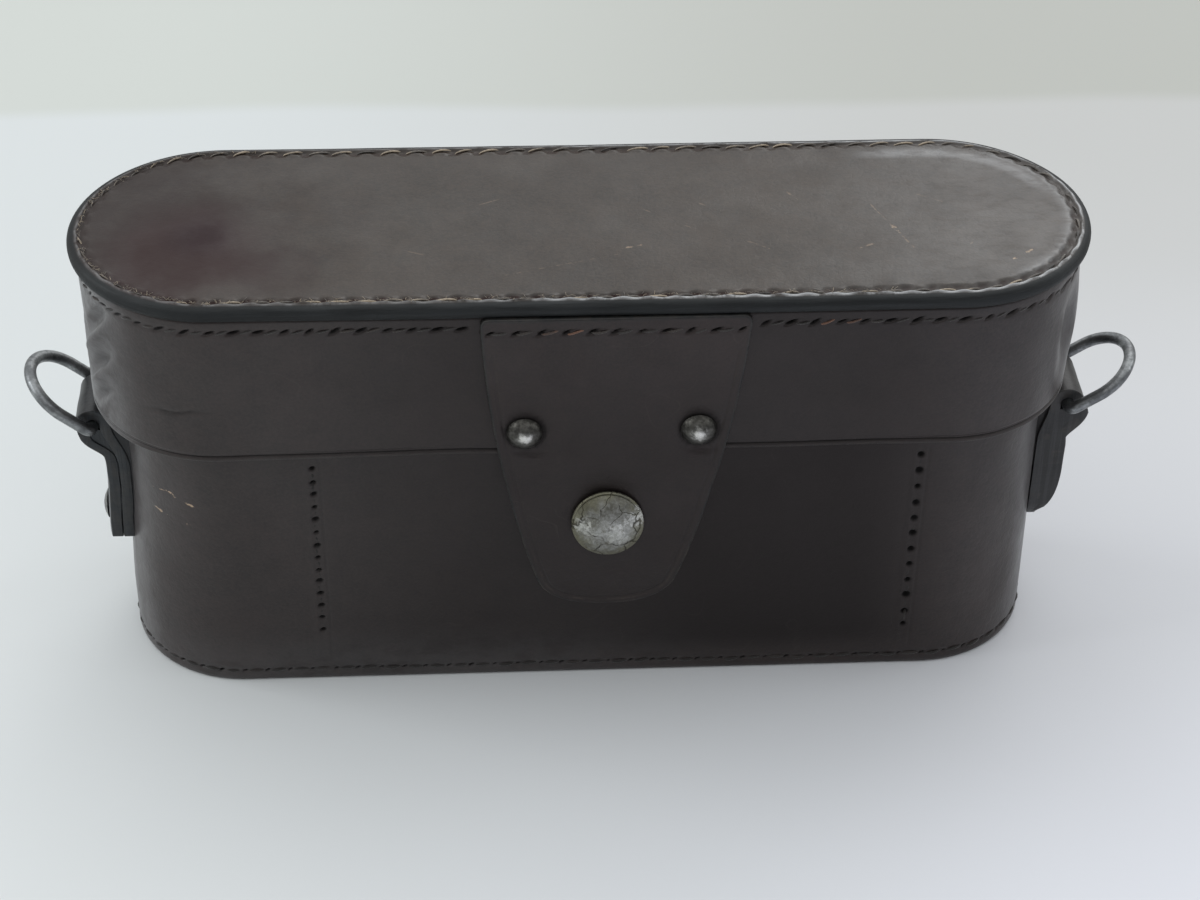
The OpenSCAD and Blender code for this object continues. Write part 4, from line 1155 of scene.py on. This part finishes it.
# Ring loops: how far the outer fold hangs out, how far below the bar the layers meet (neck), where
# the outer one turns in (hang); how far the loop leans in; then for core and backing the lowest
# and highest place and how much wider than the strap they are.
LOOPS = {"left": (-1, left_loop, 0.0, 8.0, 3.6, 1.9, (7, -1.32, -0.25), (3, 2.7, -0.3)),
         "right": (1, right_loop, 1.2, 9.0, 2.6, 0.1, (0.6, -1.32, 0.02), (16, 1.5, -0.8))}
for label, (sign, finish, slack, neck_h, hang, leaning, core_ends, backing_ends) in LOOPS.items():
    low, high = extent("loop_" + label)
    bar = joint_at(f"ring_{label}_turn")
    half_w = (high[1] - low[1]) / 2
    out = abs(bar[0]) - BODY.r - BODY.c
    fold = BORE - 0.05 + LOOP_T / 2
    near = SEAT + LOOP_T / 2
    far = near + LOOP_T + 2 * SEAT - 0.12
    neck = bar[2] - neck_h
    path = [[near, z] for z in np.linspace(low[2], neck, 14)]
    path += [[near + (out - fold - near) * smooth(k), neck + neck_h * k] for k in np.linspace(0, 1, 12)[1:]]
    path += [[out + fold * math.cos(a), bar[2] + fold * math.sin(a)] for a in np.radians(np.linspace(165, 15, 20))]
    outer_leg = [[far + (out + fold + slack - far) * smooth(k), neck + (neck_h - hang) * k]
                 for k in np.linspace(1, 0, 12)]
    outer_leg += [[far, z] for z in np.linspace(neck, low[2], 14)[1:]]
    path += outer_leg
    run = path_length(path)
    loop_half = rounded_half(half_w, run, half_w if sign > 0 else CORNER_R)

    def placed(across, u, z):
        """From across the strap, out from the case and up. Below the ring the strap hugs the round
        end of the case, and the right one is pressed wider and pared towards its foot."""
        below = smooth((bar[2] - 1 - z) / 8)
        hug = (BODY.r - np.sqrt(BODY.r ** 2 - across ** 2)) * below
        lean_in = leaning * smooth((bar[2] + 1 - z) / 12) * (1 - 0.35 * smooth((40 - z) / 14))
        thick = 1.0
        if sign > 0:
            foot = np.clip((low[2] + 15 - z) / 11.5, 0, 1)
            thick = (1 + 0.30 * smooth((bar[2] - 3 - z) / 8)) * (0.30 + 0.70 * np.sqrt(1 - foot ** 2))
        return np.stack([sign * (BODY.r + BODY.c + u * thick - hug - lean_in), across, z], -1)

    ends = np.array([0, 0.05, 0.15, 0.3, 0.5, 0.75, 1.1, 1.6, 2.2, 2.9, 3.7, 4.6, 5.5])
    rows = np.concatenate([ends, np.linspace(6.5, run - 6.5, 110), run - ends[::-1]]) / run
    loop = strip(path, loop_half, LOOP_T, 0.22, rows, 29)
    pts, d, v = loop["points"], loop["d"], loop["v"]
    pts[:, 1:] += loop["out"][:, 1:] * (0.05 * waves(np.stack([loop["x"], v], -1), 7, 50 + sign))[:, None]
    pts[:, 0] += 0.10 * waves(np.stack([v, v], -1), 12, 50 + sign)
    pts = placed(*pts.T)
    edge = smooth((0.28 - d) / 0.12)
    outer = (loop["side"] < 0) & (v > 0.3 * run)
    # a painted highlight along the top of the outer fold
    make("loop_strap_" + label, pts, loop["faces"], finish, "case", "loop_" + label, "bridle_leather",
         wear=0.2 * bell(d, 0.6), burnish=edge,
         polish=0.30 * outer * smooth((pts[:, 2] - bar[2]) / 2.5) * (1 - edge))
    if sign < 0:
        pts, faces = cad_mesh("loop_rivet")
        middle = np.full(1, (pts[:, 2].min() + pts[:, 2].max()) / 2)
        wall_x = placed(np.zeros(1), np.zeros(1), middle)[0, 0]
        pts[:, 0] += (wall_x + BODY.r + BODY.c) * smooth((-88 - pts[:, 0]) / 4)
        make("loop_rivet_head", pts, faces, rivet_steel, "case", "loop_rivet", "rivet_steel")
    # leather between the two layers, sewn shut below the ring, and behind them up to the ring
    legs = np.array(path)
    left_leg = legs[(legs[:, 0] <= (near + far) / 2) & (legs[:, 1] < bar[2] - 2.2)]
    right_leg = legs[:-len(outer_leg) - 2:-1]
    for part, (start, end, over) in (("core", core_ends), ("backing", backing_ends)):
        heights = np.linspace(low[2] + start, bar[2] + end, 30)
        inner = np.interp(heights, left_leg[:, 1], left_leg[:, 0])
        outer = np.interp(heights, right_leg[:, 1], right_leg[:, 0])
        if part == "backing":
            leg_a, leg_b = np.full(len(heights), -2.2), inner - 0.9
        elif sign < 0:
            leg_a, leg_b = inner - 0.4, outer + 0.4
        else:
            leg_a, leg_b = inner - LOOP_T / 2 + 0.1, outer + LOOP_T / 2 - 0.15
        wide = loop_half(heights - low[2]) + over
        quads = np.array([placed(*np.array([[y], [u], [z]]))[0] for z, w, ua, ub in
                          zip(heights, wide, leg_a, leg_b) for y, u in ((-w, ua), (-w, ub), (w, ub), (w, ua))])
        sides = grid_faces(len(heights), 4, False, True).tolist()
        sides += [[3, 2, 1, 0], [len(quads) - 4 + i for i in range(4)]]
        # painted shade on the backing
        burnish, shade = (1.0, 0.0) if part == "core" else (0.4, 0.5)
        make(f"loop_{part}_{label}", quads, sides, finish, "case", None, "bridle_leather", rounded=False,
             burnish=np.full(len(quads), burnish), shade=np.full(len(quads), shade))


# ---------------------------------------------------------------- linings
LINING_T = 1.0


def lining(name, node, facing, body, seed):
    """A sheet of baize, 0.2 mm clear of its CAD node's outline, whose free face looks up (1) or
    down (-1)."""
    edge = Stadium(node, 0.4)
    free_z = edge.high if facing > 0 else edge.low
    insets = np.array([0.0, 0.15, 0.5, 1.2, 3, 5, 7, 9, 12, 15, 18, edge.r - 0.001])
    section = np.concatenate([np.stack([insets[::-1], np.full(len(insets), LINING_T)], -1),
                              np.stack([insets, np.where(insets < 0.2, 0.25, 0.0)], -1)])
    section[:, 1] = free_z - facing * section[:, 1]
    pts, faces = welded(*band(edge, section, 260, False))
    inset = edge.locate(pts[:, 0], pts[:, 1])[1]
    pts[:, 2] -= facing * 0.12 * (1 + waves(pts, 22, seed)) * smooth((inset - 1) / 4)
    ob = make(name, pts, faces, baize, body, node, "lining_cloth")


lining("lining_bottom", "bottom_lining", 1, "case", 61)
lining("lining_lid", "lid_lining", -1, "lid", 62)

# ---------------------------------------------------------------- CAD nodes that keep their shape
cap_at = (CAP_LOW + CAP_HIGH) / 2 * MM
cap_nickel = worn_cap("cap_nickel", cap_at[0], cap_at[2], (CAP_HIGH[0] - CAP_LOW[0]) / 2 * MM)
dome = dome_steel("rivet_domes", [((TONGUE_X + k * RIVET_DX) * MM, (RIVET_Z + 0.5) * MM) for k in (-1, 1)])
pts, faces = cad_mesh("snap_cap")
seat_y = ROOT_LOW[1] + 0.34          # the cap tilts about a line on the leather, its shank stays
dy, dz = pts[:, 1] - seat_y, pts[:, 2] - CAP_Z
tilt = CAP_TILT * smooth((seat_y + 0.5 - pts[:, 1]) / 0.3)
pts[:, 0] -= 0.55 * tilt / CAP_TILT
pts[:, 1] = seat_y - 0.35 * tilt / CAP_TILT + dy * np.cos(tilt) + dz * np.sin(tilt)
pts[:, 2] = CAP_Z - 0.4 - dy * np.sin(tilt) + dz * np.cos(tilt)
make("cap", pts, faces, cap_nickel, "tongue", "snap_cap", "snap_brass")

FINISH = ((steel, "ring_left ring_right snap_spring"), (dome, "tongue_rivets"),
          (rivet_steel, "loop_burr tongue_burrs"), (brass, "snap_socket snap_stud snap_post"),
          (divider_leather, "divider_left divider_right"), (body_leather, "bottom_panel"))
for material, nodes in FINISH:
    for node in nodes.split():
        mesh = frame["nodes"][node].data
        mesh.materials.clear()
        mesh.materials.append(material)


# ---------------------------------------------------------------- floor, light and camera
def floor_material():
    """Pale paper with painted light and shade: lighter towards the front, changing in tone from left to right, with a
    painted wall in shade behind.
    side runs from left to right."""
    m, at = painted("paper")
    place = m.new("SeparateXYZ", Vector=at)
    # painted light and shade: the paper and the wall change from left to right and from front to back
    y, side = place.outputs["Y"], m.mapped(place.outputs["X"], -0.12, 0.13)
    near = m.mix(side, (0.755, 0.77, 0.77), (0.79, 0.80, 0.87))
    deep = m.mix(side, (0.61, 0.633, 0.635), (0.515, 0.515, 0.505))
    paper = m.mix(m.mapped(m.add(y, m.mapped(m.noise(at, 3, 3), 0.35, 0.65, -0.03, 0.03)), -0.24, 0.20), near, deep)
    wall = m.mix(side, (0.56, 0.58, 0.55), (0.46, 0.465, 0.435))
    far = m.add(y, m.mapped(m.noise(at, 4, 2), 0.3, 0.7, -0.004, 0.004))
    color = m.mix(m.mapped(far, 0.203, 0.212), paper, wall)
    fibre = m.noise(at, 260, 4, 0.6)
    soft = m.noise(at, 6, 3, 0.5)
    return m.wire(Base_Color=color, Roughness=0.85, Specular_IOR_Level=0.25,
                  Normal=m.bump((soft, 0.004, 0.3), (fibre, 0.0001, 0.3)))


mesh = bpy.data.meshes.new("floor")
mesh.from_pydata([(-3, -3, 0), (3, -3, 0), (3, 3, 0), (-3, 3, 0)], [], [(0, 1, 2, 3)])
floor = bpy.data.objects.new("floor", mesh)
bpy.context.scene.collection.objects.link(floor)
mesh.materials.append(floor_material())

# an even room that is brighter above, behind and at the upper right
AMBIENT = 0.22
room = Nodes(bpy.data.worlds.new("room"))
bpy.context.scene.world = room.owner
sky, glow = room.new("TexCoord").outputs["Generated"], AMBIENT
for direction, strength in (((0, 0, 1), 0.90), ((0, 0.958, 0.287), 0.45), ((0.584, 0.584, 0.564), 0.10)):
    toward = room.vector("DOT_PRODUCT", sky, direction).outputs["Value"]
    glow = room.add(room.mapped(toward, 0.25, 1.0, 0.0, strength), glow)
room.wire("Background", Color=(0.96, 0.985, 1.0), Strength=glow)


LIT = (0, 0, 0.03)                   # where the lights point


def area_light(name, place, size, power, color):
    data = bpy.data.lights.new(name, "AREA")
    data.shape, data.size, data.size_y = "RECTANGLE", size[0], size[1]
    data.energy, data.color = power, color
    ob = bpy.data.objects.new(name, data)
    bpy.context.scene.collection.objects.link(ob)
    ob.location = place
    ob.rotation_euler = (Vector(LIT) - Vector(place)).to_track_quat("-Z", "Y").to_euler()


area_light("window", (0.85, 1.45, 1.3), (1.2, 1.0), 5.4, (1.0, 0.99, 0.97))
area_light("left_window", (-1.5, 0.1, 0.85), (1.0, 0.9), 12, (0.95, 0.985, 1.0))
area_light("right_window", (1.6, 0.1, 0.8), (1.0, 0.8), 4.5, (0.95, 0.985, 1.0))

# the camera, fitted to the outlines in the photo
FOCAL, SENSOR = 79.325, 36           # mm
CAMERA_AT = (-0.02218, -0.43110, 0.37263)
AZIMUTH, ELEVATION, ROLL = (math.radians(a) for a in (-3.47, 37.634, 0.797))
forward = Vector((-math.sin(AZIMUTH) * math.cos(ELEVATION), math.cos(AZIMUTH) * math.cos(ELEVATION),
                  -math.sin(ELEVATION)))
right = Vector((math.cos(AZIMUTH), math.sin(AZIMUTH), 0))
up = right.cross(forward)
image_x = math.cos(ROLL) * right + math.sin(ROLL) * up
image_y = -math.sin(ROLL) * right + math.cos(ROLL) * up
camera_data = bpy.data.cameras.new("camera")
camera_data.lens, camera_data.sensor_width = FOCAL, SENSOR
camera_data.clip_start, camera_data.clip_end = 0.01, 20
camera = bpy.data.objects.new("camera", camera_data)
bpy.context.scene.collection.objects.link(camera)
turn = Matrix((image_x, image_y, -forward)).transposed()
camera.matrix_world = Matrix.Translation(CAMERA_AT) @ turn.to_4x4()
bpy.context.scene.camera = camera
bpy.context.scene.view_settings.view_transform = "Standard"
